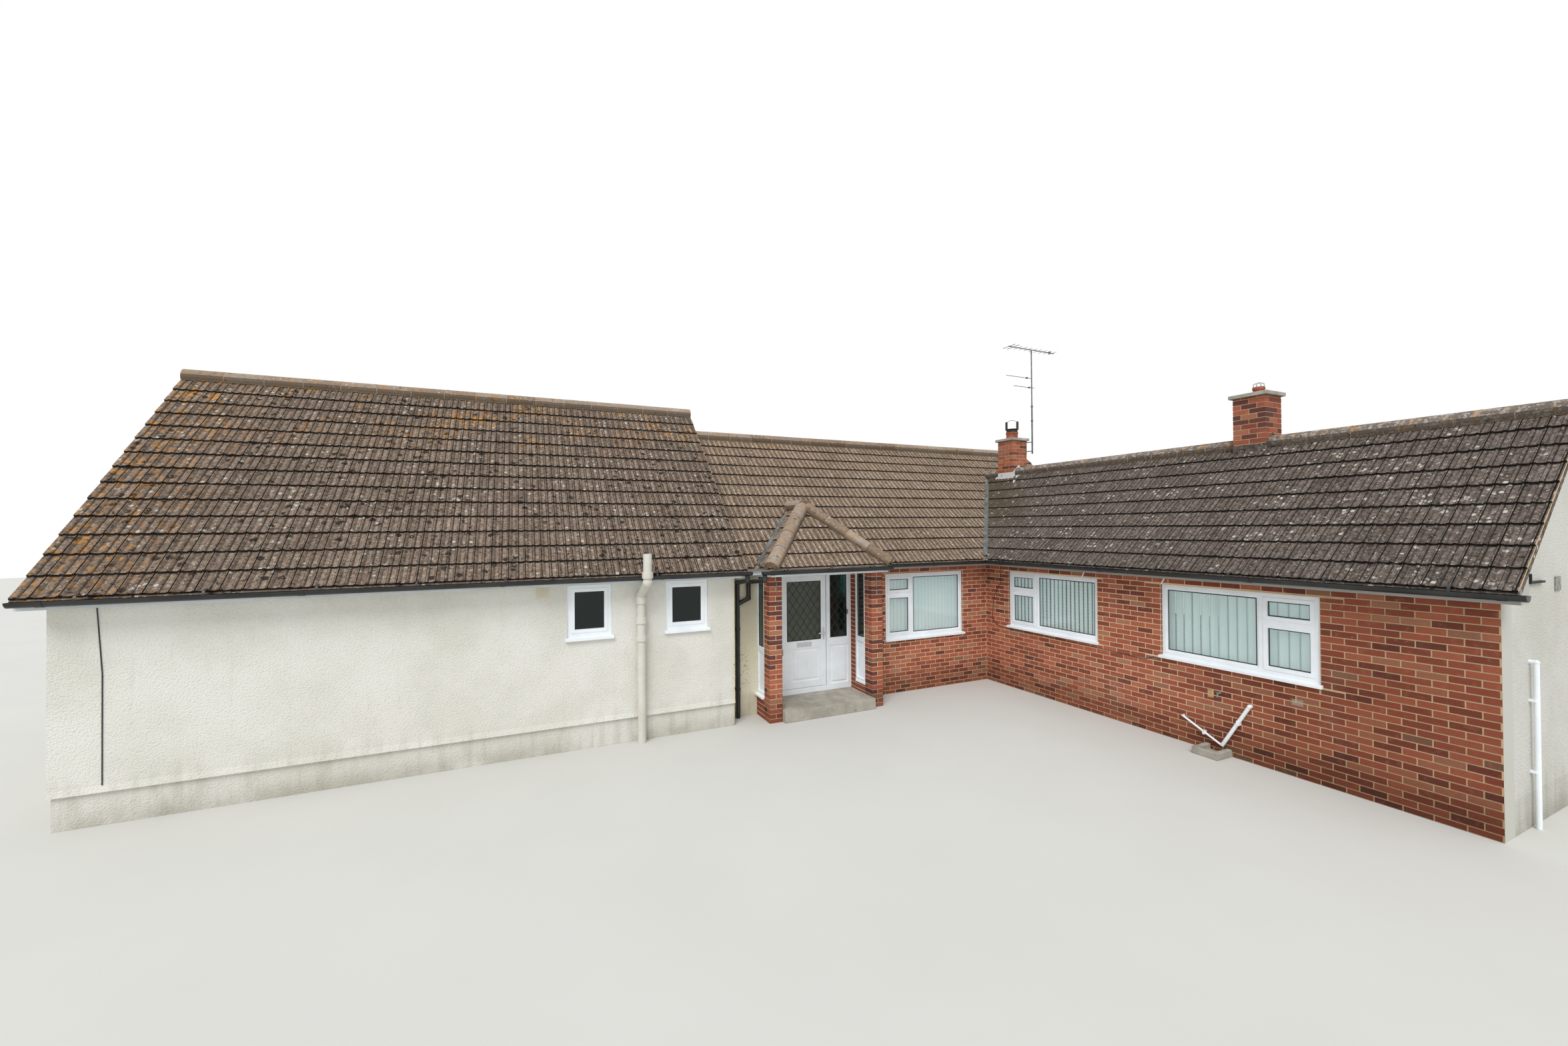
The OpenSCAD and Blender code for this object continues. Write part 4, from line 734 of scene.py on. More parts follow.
house = {"rwFront": -6.55, "rwRight": 3.53, "midBack": 4.90, "midLeft": -5.36, "eavesOut": 0.25, "eavesZ": 2.368,
         "pitch": 42.5, "porchFront": -0.72, "porchZ": 2.385, "porchMid": -3.8225, "porchHalf": 1.0925,
         "gableDrop": 0.06, "gableTop": 4.75, "eastX": 3.0, "leftBackY": 5.0}
firstJoints = {"courtyard": (0.130, 0.020), "middle": (0.198, 0.086), "unseen": (0.1, 0.2125)}  # even and odd courses
lean = radians(house["pitch"])
rise = sin(lean) / cos(lean)

brickFace("courtyardBricks", (0, 0, 0), (0, -1, 0), (0, -house["rwFront"]), firstJoints["courtyard"],
          windowHoles("rw_windows", 1, -1), (0, 1), seed=3)
brickFace("middleBricks", (0, 0, 0), (1, 0, 0), (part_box("mid_front_wall")[0].x, 0), firstJoints["middle"],
          windowHoles("mid_window", 0, 1), seed=5)
brickFace("eastBricks", (house["rwRight"], 0, 0), (0, 1, 0), (house["rwFront"], 0), firstJoints["unseen"],
          windowHoles("back_windows", 1, 1, inEastWall), (1, 0), seed=7)
gableFoot = house["eavesZ"] - house["gableDrop"] + house["eavesOut"] * rise
brickFace("eastGableBricks", (house["rwRight"], 0, 0), (0, 1, 0), (0, house["midBack"]), firstJoints["unseen"], (),
          (0, 1), [((0, gableFoot, 0), (-rise, 1, 0)), ((house["midBack"], gableFoot, 0), (rise, 1, 0))],
          house["gableTop"], seed=9)
brickFace("backBricks", (0, house["midBack"], 0), (-1, 0, 0), (-house["rwRight"], -house["midLeft"]),
          firstJoints["unseen"], windowHoles("back_windows", 0, -1, inMiddleBackWall), (1, 0), seed=11)
print("brick walls made")


# Piers and chimney stacks are built brick by brick round a mortar core

blocks = {"wide": 0.1025, "joint": 0.010, "arris": 0.0018, "recess": 0.004, "shift": 0.0006, "least": 0.02}


def brickBlock(mesh, tint, lo, size, rnd):
    centre = Vector(lo) + Vector(size) / 2
    centre += Vector((rnd.uniform(-1, 1), rnd.uniform(-1, 1), 0)) * blocks["shift"]
    made = block(mesh, centre, size)
    tone = rnd.random()
    for face in facesOf(made):
        face[tint] = tone
        face.material_index = 1


def brickPillar(name, boxes, node, seed, ring):
    rnd, mesh, tint = startPiece(seed, "tint")
    gap = blocks["joint"]
    high = bond["course"] - gap
    for lo, hi in boxes:
        side = hi.x - lo.x
        lowest, highest = (int(floor((z - bond["start"]) / bond["course"])) for z in (lo.z, hi.z))
        for k in range(lowest, highest + 1):
            z0 = max(bond["start"] + k * bond["course"] + gap / 2, lo.z)
            z1 = min(bond["start"] + k * bond["course"] + gap / 2 + high, hi.z)
            if z1 - z0 < blocks["least"]:
                continue
            deep = (side - gap) / 2 if not ring else blocks["wide"]
            flat = k % 2 == 0
            for cell in pillarCells(side, deep, gap, ring):
                x, y, w, d = cell if flat else (cell[1], cell[0], cell[3], cell[2])  # each course turns
                brickBlock(mesh, tint, (lo.x + x, lo.y + y, z0), (w, d, z1 - z0), rnd)
    roundEdges(mesh, mesh.edges[:], blocks["arris"], 1)
    inner = Vector((blocks["recess"], blocks["recess"], 0.0))
    for lo, hi in boxes:
        for face in facesOf(block(mesh, (lo + hi) / 2, hi - lo - 2 * inner)):
            face.material_index = 0
    newPiece(name, mesh, [mortar, brick], stands=(node,))


def pillarCells(side, deep, gap, ring):
    if not ring:
        return [(0, 0, deep, side), (deep + gap, 0, deep, side)]
    half = (side - gap) / 2
    inner = side - 2 * deep - 2 * gap
    return [(0, 0, half, deep), (half + gap, 0, half, deep), (0, side - deep, half, deep),
            (half + gap, side - deep, half, deep), (0, deep + gap, deep, inner), (side - deep, deep + gap, deep, inner)]


brickPillar("porchPierBricks", solidBoxes("porch_piers"), "porch_piers", 21, False)
brickPillar("chimneyBricks", solidBoxes("chimney_stacks"), "chimney_stacks", 23, True)
print("piers and stacks made")


# Roof tiles: one interlocking tile is shaped once and laid over each slope, then cut at verges, hips and valleys

tile = {"cover": 0.197, "gauge": 0.300, "tail": 0.010, "head": -0.013, "lip": 0.023, "lift": 0.0013, "slip": 0.002,
        "drift": 0.0006, "overlap": 0.012, "lean": 0.003, "deckDrop": 0.018, "verge": 0.030, "stackGap": 0.012,
        "tailMossShadeBand": 0.010, "headMossShadeBand": 0.015, "tailMossAndShade": 0.3, "headMossAndShade": 0.75, "frontMossAndShade": 0.9, "nearCut": 0.35}
tileSection = ((0.000, -0.005, 0.9), (0.003, 0.010, 0.3), (0.016, 0.0105, 0.1), (0.026, 0.000, 0.5),
               (0.045, -0.001, 0.0), (0.071, -0.001, 0.0), (0.083, 0.000, 0.85), (0.091, 0.0095, 0.15),
               (0.104, 0.0095, 0.15), (0.112, 0.000, 0.8), (0.125, -0.001, 0.0), (0.155, -0.001, 0.0),
               (0.170, 0.000, 0.5), (0.180, 0.0105, 0.2), (0.190, 0.010, 1.0), (0.1935, -0.005, 1.0),
               (0.197, -0.005, 1.0))  # across, up, and how dark the strip after it is painted, for moss and painted shade in the creases


def shapeTile(mesh, grime):
    rail = [mesh.verts.new((x, 0, z + tile["tail"])) for x, z, dirt in tileSection]
    edges = [mesh.edges.new(pair) for pair in zip(rail, rail[1:])]
    top = bmesh.ops.extrude_edge_only(mesh, edges=edges)["geom"]
    bmesh.ops.translate(mesh, verts=vertsIn(top), vec=(0, tile["gauge"] + tile["overlap"], tile["head"] - tile["tail"]))
    for face in mesh.faces:
        middle = face.calc_center_median().x
        face[grime] = max(dirt for (x, z, dirt), (x2, z2, d2) in zip(tileSection, tileSection[1:])
                          if x <= middle < x2 or x2 == middle)
    front = bmesh.ops.extrude_edge_only(mesh, edges=edges)["geom"]
    bmesh.ops.translate(mesh, verts=vertsIn(front), vec=(0, tile["lean"], -tile["lip"]))
    # the tile fronts are marked dark for moss and the painted shade of each course edge
    for face in facesIn(front):
        face[grime] = tile["frontMossAndShade"]
    bmesh.ops.recalc_face_normals(mesh, faces=mesh.faces)
    if sum(f.normal.z for f in mesh.faces) < 0:
        bmesh.ops.reverse_faces(mesh, faces=mesh.faces)
    for y in (tile["tailMossShadeBand"], tile["gauge"] - tile["headMossShadeBand"]):
        cut(mesh, mesh.faces, (0, y, 0), (0, 1, 0))
    for face in mesh.faces:
        y = face.calc_center_median().y
        if y > tile["gauge"] - tile["headMossShadeBand"]:
            face[grime] = max(face[grime], tile["headMossAndShade"])  # moss and painted shade under the tail of the course above
        elif tile["lean"] < y < tile["tailMossShadeBand"]:
            face[grime] = max(face[grime], tile["tailMossAndShade"])


def trimAway(mesh, planes, down, rim=1):
    # what lies on the positive side of all the planes goes, and the cut edges get a face below them
    for point, normal in planes:
        near = [f for f in mesh.faces
                if all((f.calc_center_median() - p).dot(n) > -tile["nearCut"] for p, n in planes)]
        cut(mesh, near, point, normal)
    gone = [f for f in mesh.faces if all((f.calc_center_median() - p).dot(n) > 0 for p, n in planes)]
    bmesh.ops.delete(mesh, geom=gone, context="FACES")
    rims = []
    for edge in mesh.edges:
        if not edge.is_boundary:
            continue
        for point, normal in planes:
            if all(abs((v.co - point).dot(normal)) < 1e-5 for v in edge.verts) and \
                    all((edge.verts[0].co - p).dot(n) > -1e-4 for p, n in planes):
                rims.append(edge)
                break
    made = bmesh.ops.extrude_edge_only(mesh, edges=rims)["geom"]
    bmesh.ops.translate(mesh, verts=vertsIn(made), vec=down)
    for face in facesIn(made):
        face.material_index = rim


def layTiles(mesh, corner, across, climb, span, length, first, seed):
    rnd, patch, tint, grime = startPiece(seed, "tint", "grime")
    shapeTile(patch, grime)
    model = patch.verts[:] + patch.edges[:] + patch.faces[:]
    columns = range(floor((span[0] - first) / tile["cover"]), int((span[1] - first) / tile["cover"]) + 1)
    for row in range(int(length / tile["gauge"]) + 1):
        for column in columns:
            made = bmesh.ops.duplicate(patch, geom=model)["geom"]
            shift = (first + column * tile["cover"] + rnd.uniform(-1, 1) * tile["drift"],
                     row * tile["gauge"] + rnd.uniform(-1, 1) * tile["slip"], rnd.uniform(-1, 1) * tile["lift"])
            bmesh.ops.translate(patch, verts=vertsIn(made), vec=shift)
            tone = rnd.random()
            for face in facesIn(made):
                face[tint] = tone
    bmesh.ops.delete(patch, geom=model, context="VERTS")
    cut(patch, patch.faces, (0, length, 0), (0, 1, 0), True)
    out = Vector(across).cross(Vector(climb))
    patch.transform(Matrix.Translation(corner) @ Matrix((across, climb, out)).transposed().to_4x4())
    data = bpy.data.meshes.new("patch")
    patch.to_mesh(data)
    patch.free()
    mesh.from_mesh(data)
    bpy.data.meshes.remove(data)


def roofDeck(node, made):
    mesh = copyOf(node)
    tops = {v for f in mesh.faces if f.normal.z > 0.5 for v in f.verts}
    for vert in tops:
        vert.co.z -= tile["deckDrop"] / cos(lean)
    newPiece(node.replace("_", "") + "Deck", mesh, [made], stands=(node,))


slopeWays = {"front": ((1, 0, 0), (0, 1)), "back": ((-1, 0, 0), (0, -1)), "west": ((0, -1, 0), (1, 0)),
             "east": ((0, 1, 0), (-1, 0))}


def tileSlope(name, node, facing, corner, span, length, first, made, cuts, seed):
    across, (cx, cy) = slopeWays[facing]
    climb = Vector((cx * cos(lean), cy * cos(lean), sin(lean)))
    mesh = bmesh.new()
    for layer in ("tint", "grime"):
        mesh.faces.layers.float.new(layer)
    layTiles(mesh, Vector(corner), Vector(across), climb, span, length, first, seed)
    down = Vector(across).cross(climb) * -tile["verge"]
    for planes in cuts:
        valley = len(planes) < 4 and any(n[0] and n[1] for p, n in planes)
        trimAway(mesh, [(Vector(p), Vector(n).normalized()) for p, n in planes], down, 0 if valley else 1)
    newPiece(name, mesh, [made, mortar])
    if node:
        roofDeck(node, made)


out, eaves, right = house["eavesOut"], house["eavesZ"], house["rwRight"]
leftWing = {"left": -12.735, "right": -5.235, "front": -0.37, "back": 5.49, "ridge": 2.56, "first": 0.02}
middle = {"left": -5.359, "right": 3.67, "ridge": 2.45, "first": 0.06}
rightWing = {"front": -6.72, "ridge": 1.765, "pastCorner": 1.9, "firstWest": 6.51, "firstEast": 0.05}
porch = {"pastWall": 0.9, "firstFront": 0.09, "firstLeft": 0.03, "firstRight": 0.05}
gaps = {"ridge": 0.03, "valley": 0.038}


def slopeLength(half, past=0.0):
    return (half + past) / cos(lean) - gaps["ridge"]


def stackCut(lo, hi):
    gap = tile["stackGap"]
    return [((lo.x - gap, 0, 0), (1, 0, 0)), ((hi.x + gap, 0, 0), (-1, 0, 0)), ((0, lo.y - gap, 0), (0, 1, 0)),
            ((0, hi.y + gap, 0), (0, -1, 0))]


def gableEnds(part):
    return [[((part["left"], 0, 0), (-1, 0, 0))], [((part["right"], 0, 0), (1, 0, 0))]]


stacks = [stackCut(lo, hi) for lo, hi in solidBoxes("chimney_stacks")]
leftEnds, middleEnds = gableEnds(leftWing), gableEnds(middle)
edge = gaps["valley"] * sqrt(2)
rightTriangle = [((-edge, 0, 0), (1, -1, 0)), ((right + edge, 0, 0), (-1, -1, 0))]
porchL, porchR = house["porchMid"] - house["porchHalf"], house["porchMid"] + house["porchHalf"]
porchShift = (house["porchZ"] - eaves) / rise - out
porchTriangle = [((porchL - edge, porchShift, 0), (1, -1, 0)), ((porchR + edge, porchShift, 0), (-1, -1, 0))]

tileSlope("leftFrontTiles", "lw_roof_front", "front", (0, leftWing["front"] - out, eaves),
          (leftWing["left"], leftWing["right"]), slopeLength(leftWing["ridge"] - leftWing["front"], out),
          leftWing["first"], leftTile, leftEnds, 31)
tileSlope("leftBackTiles", "lw_roof_back", "back", (0, leftWing["back"] + out, eaves),
          (-leftWing["right"], -leftWing["left"]), slopeLength(leftWing["back"] - leftWing["ridge"], out),
          leftWing["first"], leftTile, leftEnds, 33)
tileSlope("middleFrontTiles", "mid_roof_front", "front", (0, -out, eaves), (middle["left"], middle["right"]),
          slopeLength(middle["ridge"], out), middle["first"], warmTile, middleEnds + [rightTriangle, porchTriangle], 35)
tileSlope("middleBackTiles", "mid_roof_back", "back", (0, house["midBack"] + out, eaves),
          (-middle["right"], -middle["left"]), slopeLength(middle["ridge"], out), middle["first"], warmTile,
          middleEnds, 37)
rightEnd = [((0, rightWing["front"], 0), (0, -1, 0))]
rightLength = slopeLength(rightWing["ridge"], out)
tileSlope("rightWestTiles", "rw_roof_west", "west", (-out, 0, eaves), (-rightWing["pastCorner"], -rightWing["front"]),
          rightLength, rightWing["firstWest"], greyTile, [rightEnd, [((edge, 0, 0), (-1, 1, 0))]] + stacks, 39)
tileSlope("rightEastTiles", "rw_roof_east", "east", (right + out, 0, eaves),
          (rightWing["front"], rightWing["pastCorner"]), rightLength, rightWing["firstEast"], greyTile,
          [rightEnd, [((right - edge, 0, 0), (1, 1, 0))]] + stacks, 41)

porchTop = (house["porchMid"], house["porchFront"] + house["porchHalf"], 0)
porchLength = slopeLength(house["porchHalf"])
backOfPorch = [[((porchL + edge, porchShift, 0), (-1, 1, 0))], [((porchR - edge, porchShift, 0), (1, 1, 0))]]
tileSlope("porchFrontTiles", "porch_roof", "front", (0, house["porchFront"], house["porchZ"]), (porchL, porchR),
          porchLength, porch["firstFront"], warmTile, [[(porchTop, (-1, 1, 0))], [(porchTop, (1, 1, 0))]], 43)
tileSlope("porchLeftTiles", None, "west", (porchL, 0, house["porchZ"]), (-porch["pastWall"], -house["porchFront"]),
          porchLength, porch["firstLeft"], warmTile, [[(porchTop, (1, -1, 0))], backOfPorch[0]], 45)
tileSlope("porchRightTiles", None, "east", (porchR, 0, house["porchZ"]), (house["porchFront"], porch["pastWall"]),
          porchLength, porch["firstRight"], warmTile, [[(porchTop, (-1, -1, 0))], backOfPorch[1]], 47)
print("roof slopes tiled")


# Ridge and hip tiles: short half-round shells with a mortar joint between them

ridge = {"radius": 0.1165, "thick": 0.005, "length": 0.447, "gap": 0.010, "turn": 112.0, "steps": 12, "lift": 0.002,
         "mossShadeBelow": 0.13, "halfMossAndShade": 0.55, "belowTop": 0.115, "toStack": 0.16, "intoStack": 0.004}
hip = {"turn": 104.0, "drop": 0.03, "start": 0.04, "stop": 0.05, "backRun": 0.62}


def bentSheet(mesh, first, centre, ahead, angle, steps, reach):
    # an arc from the first vertex round the centre, drawn out into a sheet that faces outwards
    bmesh.ops.spin(mesh, geom=[first], cent=centre, axis=ahead, angle=radians(angle), steps=steps,
                   use_duplicate=False)
    edges = [e for e in mesh.edges if not e.link_faces]
    made = bmesh.ops.extrude_edge_only(mesh, edges=edges)["geom"]
    bmesh.ops.translate(mesh, verts=vertsIn(made), vec=reach)
    faces = facesIn(made)
    bmesh.ops.recalc_face_normals(mesh, faces=faces)
    if sum((f.calc_center_median() - centre).dot(f.normal) for f in faces) < 0:
        bmesh.ops.reverse_faces(mesh, faces=faces)
    return faces


def ridgeRow(mesh, tint, grime, start, end, rnd, turn):
    start, end = Vector(start), Vector(end)
    run = end - start
    count = max(1, round(run.length / (ridge["length"] + ridge["gap"])))
    step = run / count
    ahead = run.normalized()
    side = ahead.cross(upward).normalized()
    crown = side.cross(ahead)
    for i in range(count):
        foot = start + step * i + ahead * ridge["gap"] / 2
        centre = foot + crown * rnd.uniform(0, 1) * ridge["lift"]
        first = mesh.verts.new(centre + Matrix.Rotation(radians(-turn), 3, ahead) @ crown * ridge["radius"])
        reach = step - ahead * ridge["gap"]
        faces = bentSheet(mesh, first, centre, ahead, 2 * turn, ridge["steps"], reach)
        shell = bmesh.ops.solidify(mesh, geom=faces, thickness=-ridge["thick"])["geom"]
        tone = rnd.random()
        for face in set(facesIn(shell)) | set(faces):
            face[tint] = tone
            # the lowest strips of each shell are marked for moss and the painted shadow along the bedding, the next
            # ones less
            level = (face.calc_center_median() - centre).dot(crown) / ridge["radius"]
            low = ridge["mossShadeBelow"]
            face[grime] = 1.0 if level < low else ridge["halfMossAndShade"] if level < 3 * low else 0.0


def ridgePiece(name, runs, seed, turn=ridge["turn"]):
    rnd, mesh, tint, grime = startPiece(seed, "tint", "grime")
    for start, end in runs:
        ridgeRow(mesh, tint, grime, start, end, rnd, turn)
    newPiece(name, mesh, [ridgeTile])


def ridgeRuns():
    runs = []
    for lo, hi in solidBoxes("ridge_tiles"):
        centre = (lo + hi) / 2
        z = hi.z - ridge["belowTop"]
        if liesAlongX(lo, hi):
            runs.append(((lo.x, centre.y, z), (hi.x, centre.y, z)))
        else:
            ends = [lo.y, hi.y]
            for low, high in solidBoxes("chimney_stacks"):
                if abs(hi.y - low.y) < ridge["toStack"]:
                    ends[1] = low.y + ridge["intoStack"]
                if abs(lo.y - high.y) < ridge["toStack"]:
                    ends[0] = high.y - ridge["intoStack"]
            runs.append(((centre.x, ends[0], z), (centre.x, ends[1], z)))
    return runs


def hipRuns():
    runs = []
    tilt = sqrt(2 + rise * rise)
    for side in (-1, 1):
        foot = Vector((house["porchMid"] + side * house["porchHalf"], house["porchFront"],
                       house["porchZ"] - hip["drop"]))
        way = Vector((-side, 1, rise)) / tilt
        length = house["porchHalf"] * tilt - hip["stop"]
        runs.append((foot + way * hip["start"], foot + way * length))
    return runs


def porchRidgeRun():
    lo, hi = next(box for box in solidBoxes("porch_hip_tiles")
                  if abs((box[0] + box[1]).x / 2 - house["porchMid"]) < 0.01)
    z = hi.z - ridge["belowTop"]
    return (house["porchMid"], lo.y, z), (house["porchMid"], lo.y + hip["backRun"], z)


ridgePiece("ridgeTileRow", ridgeRuns(), 51)
ridgePiece("porchHipRow", hipRuns(), 53, hip["turn"])
ridgePiece("porchRidgeRow", [porchRidgeRun()], 55)
print("ridges and hips laid")


# Frames, caps and slabs: copies of their solids with rounded edges

rounding = {"frames": 0.0035, "caps": 0.006, "slabs": 0.008, "sharp": 30, "flat": 1}  # metres, then degrees


def soften(node, width, made, body="house"):
    mesh = copyOf(node)
    bmesh.ops.dissolve_limit(mesh, angle_limit=radians(rounding["flat"]), verts=mesh.verts[:], edges=mesh.edges[:])
    sharp = [e for e in mesh.edges if len(e.link_faces) == 2 and e.calc_face_angle(0) > radians(rounding["sharp"])]
    roundEdges(mesh, sharp, width, clamp=True)
    newPiece(node.title().replace("_", "") + "Soft", mesh, [made], body, (node,))


for node in ("lw_windows", "mid_window", "rw_windows", "back_windows", "door_frame", "porch_screens"):
    soften(node, rounding["frames"], whitePlastic)
soften("front_door", rounding["frames"], whitePlastic, "front_door")
soften("chimney_caps", rounding["caps"], concrete)
soften("porch_floor", rounding["slabs"], concrete)
soften("gully_surround", rounding["slabs"], concrete)
print("frames rounded")


# Vertical louvres behind the glass

louvre = {"middle": (0.089, 0.078, -24.0), "rightFirst": (0.089, 0.078, -16.0), "rightSecond": (0.120, 0.106, -12.0),
          "bow": 0.007, "jitter": 3.0, "drift": 0.001, "clear": 0.012, "edge": 0.42, "rail": 0.03, "railDeep": 0.04,
          "railRound": 0.004, "secondY": -3.0}  # each window has its slats' width, pitch and turn


def hangLouvres():
    rnd, mesh, edge = startPiece(61, "edge")
    for lo, hi in solidBoxes("window_blinds"):
        middle = (lo + hi) / 2
        alongX = liesAlongX(lo, hi)
        width = max(hi.x - lo.x, hi.y - lo.y)
        kind = "middle" if alongX else "rightFirst" if middle.y > louvre["secondY"] else "rightSecond"
        wide, pitch, side = louvre[kind]
        count = int(width / pitch)
        high = hi.z - lo.z - louvre["clear"] - louvre["rail"]
        for i in range(count):
            made = bmesh.ops.create_grid(mesh, x_segments=8, y_segments=1, size=0.5)["verts"]
            for vert in made:
                vert.co = (vert.co.x * wide, (0.25 - vert.co.x ** 2) * 4 * louvre["bow"], vert.co.y * high)
            for face in facesOf(made):
                # faces at the slat edges are marked for the painted shadow between slats
                face[edge] = 1.0 if abs(face.calc_center_median().x) > wide * louvre["edge"] else 0.0
            turn = side + rnd.uniform(-1, 1) * louvre["jitter"]
            bmesh.ops.rotate(mesh, verts=made, cent=(0, 0, 0), matrix=Matrix.Rotation(radians(turn), 3, "Z"))
            place = (i + 0.5) * width / count - width / 2
            bmesh.ops.translate(mesh, verts=made, vec=(place, rnd.uniform(-1, 1) * louvre["drift"], 0))
            if not alongX:
                bmesh.ops.rotate(mesh, verts=made, cent=(0, 0, 0), matrix=Matrix.Rotation(radians(-90), 3, "Z"))
            bmesh.ops.translate(mesh, verts=made, vec=(middle.x, middle.y, middle.z - louvre["rail"] / 2))
        flat = (width, louvre["railDeep"]) if alongX else (louvre["railDeep"], width)
        rail = block(mesh, (middle.x, middle.y, hi.z - louvre["rail"] / 2), (*flat, louvre["rail"]))
        roundEdges(mesh, list({e for v in rail for e in v.link_edges}), louvre["railRound"])
    newPiece("windowLouvres", mesh, [blind], stands=("window_blinds",), smooth=True)


hangLouvres()


# Lead strips over the door's glass, in diamonds

lattice = {"wide": 0.135, "high": 0.190, "strip": 0.010, "thick": 0.0014, "spare": 0.6,
           "door": (-4.239, -3.589, 1.066, 2.074, 0.1778), "side": (-3.410, -3.073, 1.075, 2.162, 0.1698)}


def leadDiamonds(name, x0, x1, z0, z1, y, body):
    mesh = bmesh.new()
    slope = Vector((lattice["wide"], lattice["high"])).normalized()
    length = (z1 - z0) / slope.y + lattice["spare"]
    for way in (-1, 1):
        reach = int((x1 - x0 + (z1 - z0) * lattice["wide"] / lattice["high"]) / lattice["wide"]) + 2
        for i in range(-reach, reach + 1):
            made = block(mesh, (0, 0, 0), (lattice["strip"], lattice["thick"], length))
            tilt = Matrix.Rotation(way * -slope.angle_signed(Vector((0, 1))), 3, "Y")
            bmesh.ops.rotate(mesh, verts=made, cent=(0, 0, 0), matrix=tilt)
            bmesh.ops.translate(mesh, verts=made, vec=((x0 + x1) / 2 + i * lattice["wide"], y - lattice["thick"] / 2,
                                                       (z0 + z1) / 2))
    for point, normal in (((x0, 0, 0), (-1, 0, 0)), ((x1, 0, 0), (1, 0, 0)), ((0, 0, z0), (0, 0, -1)),
                          ((0, 0, z1), (0, 0, 1))):
        cut(mesh, mesh.faces, point, normal, True)
    newPiece(name, mesh, [leadStrip], body)


leadDiamonds("doorDiamonds", *lattice["door"], "front_door")
leadDiamonds("sideDiamonds", *lattice["side"], "house")
print("blinds and lead strips made")


# Lead: valley strips and aprons; the flashing of the front stack is dressed close to its bricks

dressing = {"flange": 0.014, "valley": 0.040, "apronReach": 0.45, "apronFace": 0.7, "stripNear": 0.35,
            "stripLong": 0.6, "frontStackY": -3.0}


def dressLead():
    mesh = copyOf("lead_work")
    painted = mesh.faces.layers.float.new("painted")
    stackBoxes = solidBoxes("chimney_stacks")
    (lo, hi), (backLo, backHi) = stackBoxes[0], stackBoxes[-1]
    close = dressing["flange"]
    for point, normal in (((lo.x - close, 0, 0), (-1, 0, 0)), ((hi.x + close, 0, 0), (1, 0, 0)),
                          ((0, lo.y - close, 0), (0, -1, 0)), ((0, hi.y + close, 0), (0, 1, 0))):
        near = [f for f in mesh.faces if f.calc_center_median().y < dressing["frontStackY"]]
        cut(mesh, near, point, normal, True)
    for foot, way in (((0, 0, 0), (1, -1, 0)), ((right, 0, 0), (-1, -1, 0)),
                      ((porchL, porchShift, 0), (1, -1, 0)), ((porchR, porchShift, 0), (-1, -1, 0))):
        side = Vector(way).normalized()
        foot = Vector(foot)
        for sign in (-1, 1):
            near = []
            for face in mesh.faces:
                spread = [(v.co - foot).dot(side) for v in face.verts]
                run = [abs((v.co - foot).dot(side.cross(upward))) for v in face.verts]
                if max(map(abs, spread)) < dressing["stripNear"] and max(run) - min(run) > dressing["stripLong"]:
                    near.append(face)
            cut(mesh, near, foot + side * sign * dressing["valley"], side * sign, True)
    for face in mesh.faces:
        centre = face.calc_center_median()
        face.material_index = 1 if centre.y < dressing["frontStackY"] else 0
        longest = max(e.calc_length() for e in face.edges)
        beside = (centre - (backLo + backHi) / 2).to_2d().length < dressing["apronReach"]
        if beside and longest < dressing["apronFace"]:
            face[painted] = 1.0
    newPiece("leadDressed", mesh, [lead, greyTile], stands=("lead_work",))


dressLead()


# Black rubber round each pane, drawn wider than the real gasket to paint the shadow of the frame's rebate, and clips
# that hold the gutters

# painted shadow: the rubber is wider than the gasket, for the shade in the rebate
sealsAndShadow = {"wide": 0.013, "deep": 0.003, "backFromY": 4.5}
clips = {"radius": 0.0595, "wide": 0.022, "thick": 0.0025, "pitch": 0.90, "steps": 14, "least": 0.5}


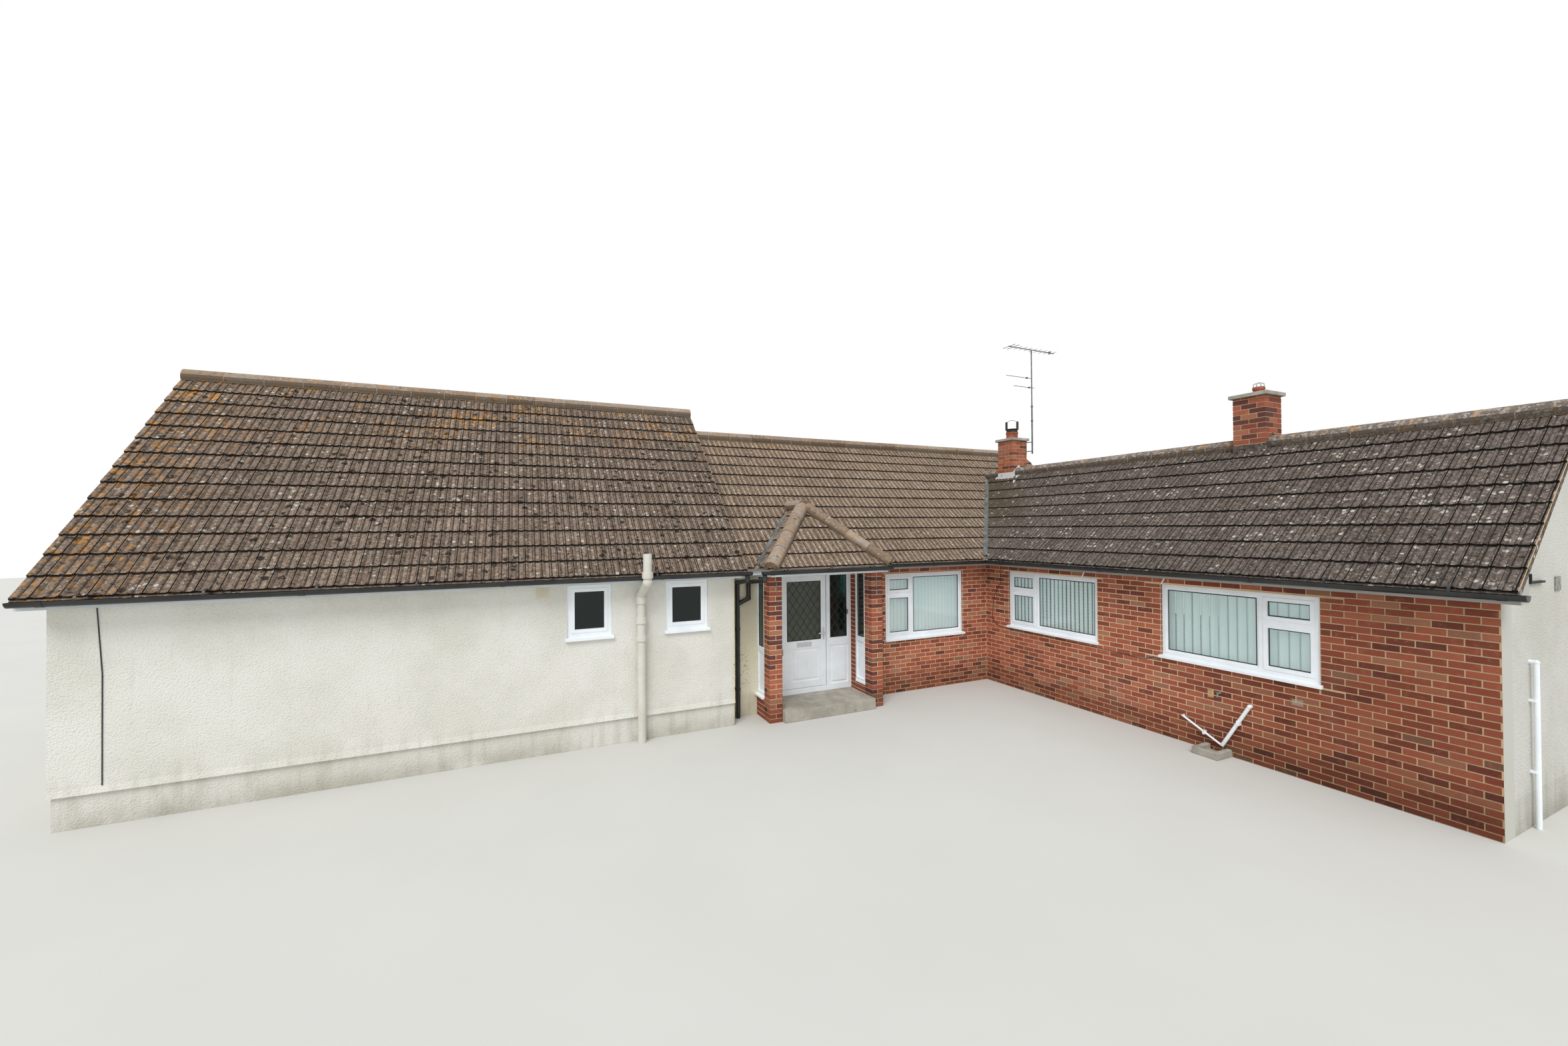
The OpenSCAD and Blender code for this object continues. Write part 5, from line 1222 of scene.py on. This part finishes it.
def sealAndShadePanes(name, node, body, facesOut):
    mesh = bmesh.new()
    for lo, hi in solidBoxes(node):
        alongX = liesAlongX(lo, hi)
        out, flat = (-1, lo) if facesOut(lo) else (1, hi)
        normal = Vector((0, out, 0) if alongX else (out, 0, 0))
        (x0, y0), (x1, y1) = ((lo.x, flat.y), (hi.x, flat.y)) if alongX else ((flat.x, lo.y), (flat.x, hi.y))
        corners = [(x0, y0, lo.z), (x1, y1, lo.z), (x1, y1, hi.z), (x0, y0, hi.z)]
        pane = mesh.faces.new([mesh.verts.new(c) for c in corners])
        pane.normal_update()
        if pane.normal.dot(normal) < 0:
            pane.normal_flip()
        ring = bmesh.ops.inset_region(mesh, faces=[pane], thickness=sealsAndShadow["wide"], use_boundary=True,
                                      use_even_offset=True)["faces"]
        bmesh.ops.delete(mesh, geom=[pane], context="FACES")
        made = bmesh.ops.extrude_face_region(mesh, geom=ring)["geom"]
        bmesh.ops.translate(mesh, verts=vertsIn(made), vec=normal * sealsAndShadow["deep"])
    newPiece(name, mesh, [gasketAndShadow], body)


def clipGutters():
    mesh = bmesh.new()
    for lo, hi in solidBoxes("gutters"):
        alongX = liesAlongX(lo, hi)
        long = (hi.x - lo.x) if alongX else (hi.y - lo.y)
        if long < clips["least"]:
            continue
        count = max(1, round(long / clips["pitch"]))
        centre = (lo + hi) / 2
        ahead = Vector((1, 0, 0)) if alongX else Vector((0, 1, 0))
        for i in range(count):
            at = (i + 0.5) * long / count
            foot = Vector((lo.x + at, centre.y, hi.z)) if alongX else Vector((centre.x, lo.y + at, hi.z))
            start = foot - ahead * clips["wide"] / 2
            first = mesh.verts.new(start + ahead.cross(upward) * clips["radius"])
            faces = bentSheet(mesh, first, start, ahead, -180, clips["steps"], ahead * clips["wide"])
            bmesh.ops.solidify(mesh, geom=faces, thickness=-clips["thick"])
    newPiece("gutterClips", mesh, [blackPlastic])


sealAndShadePanes("windowSealsAndShadow", "window_glass", "house", lambda lo: lo.y < sealsAndShadow["backFromY"] and lo.x < house["eastX"])
sealAndShadePanes("doorSealsAndShadow", "front_door_glass", "front_door", lambda lo: True)
clipGutters()
print("seals and clips made")
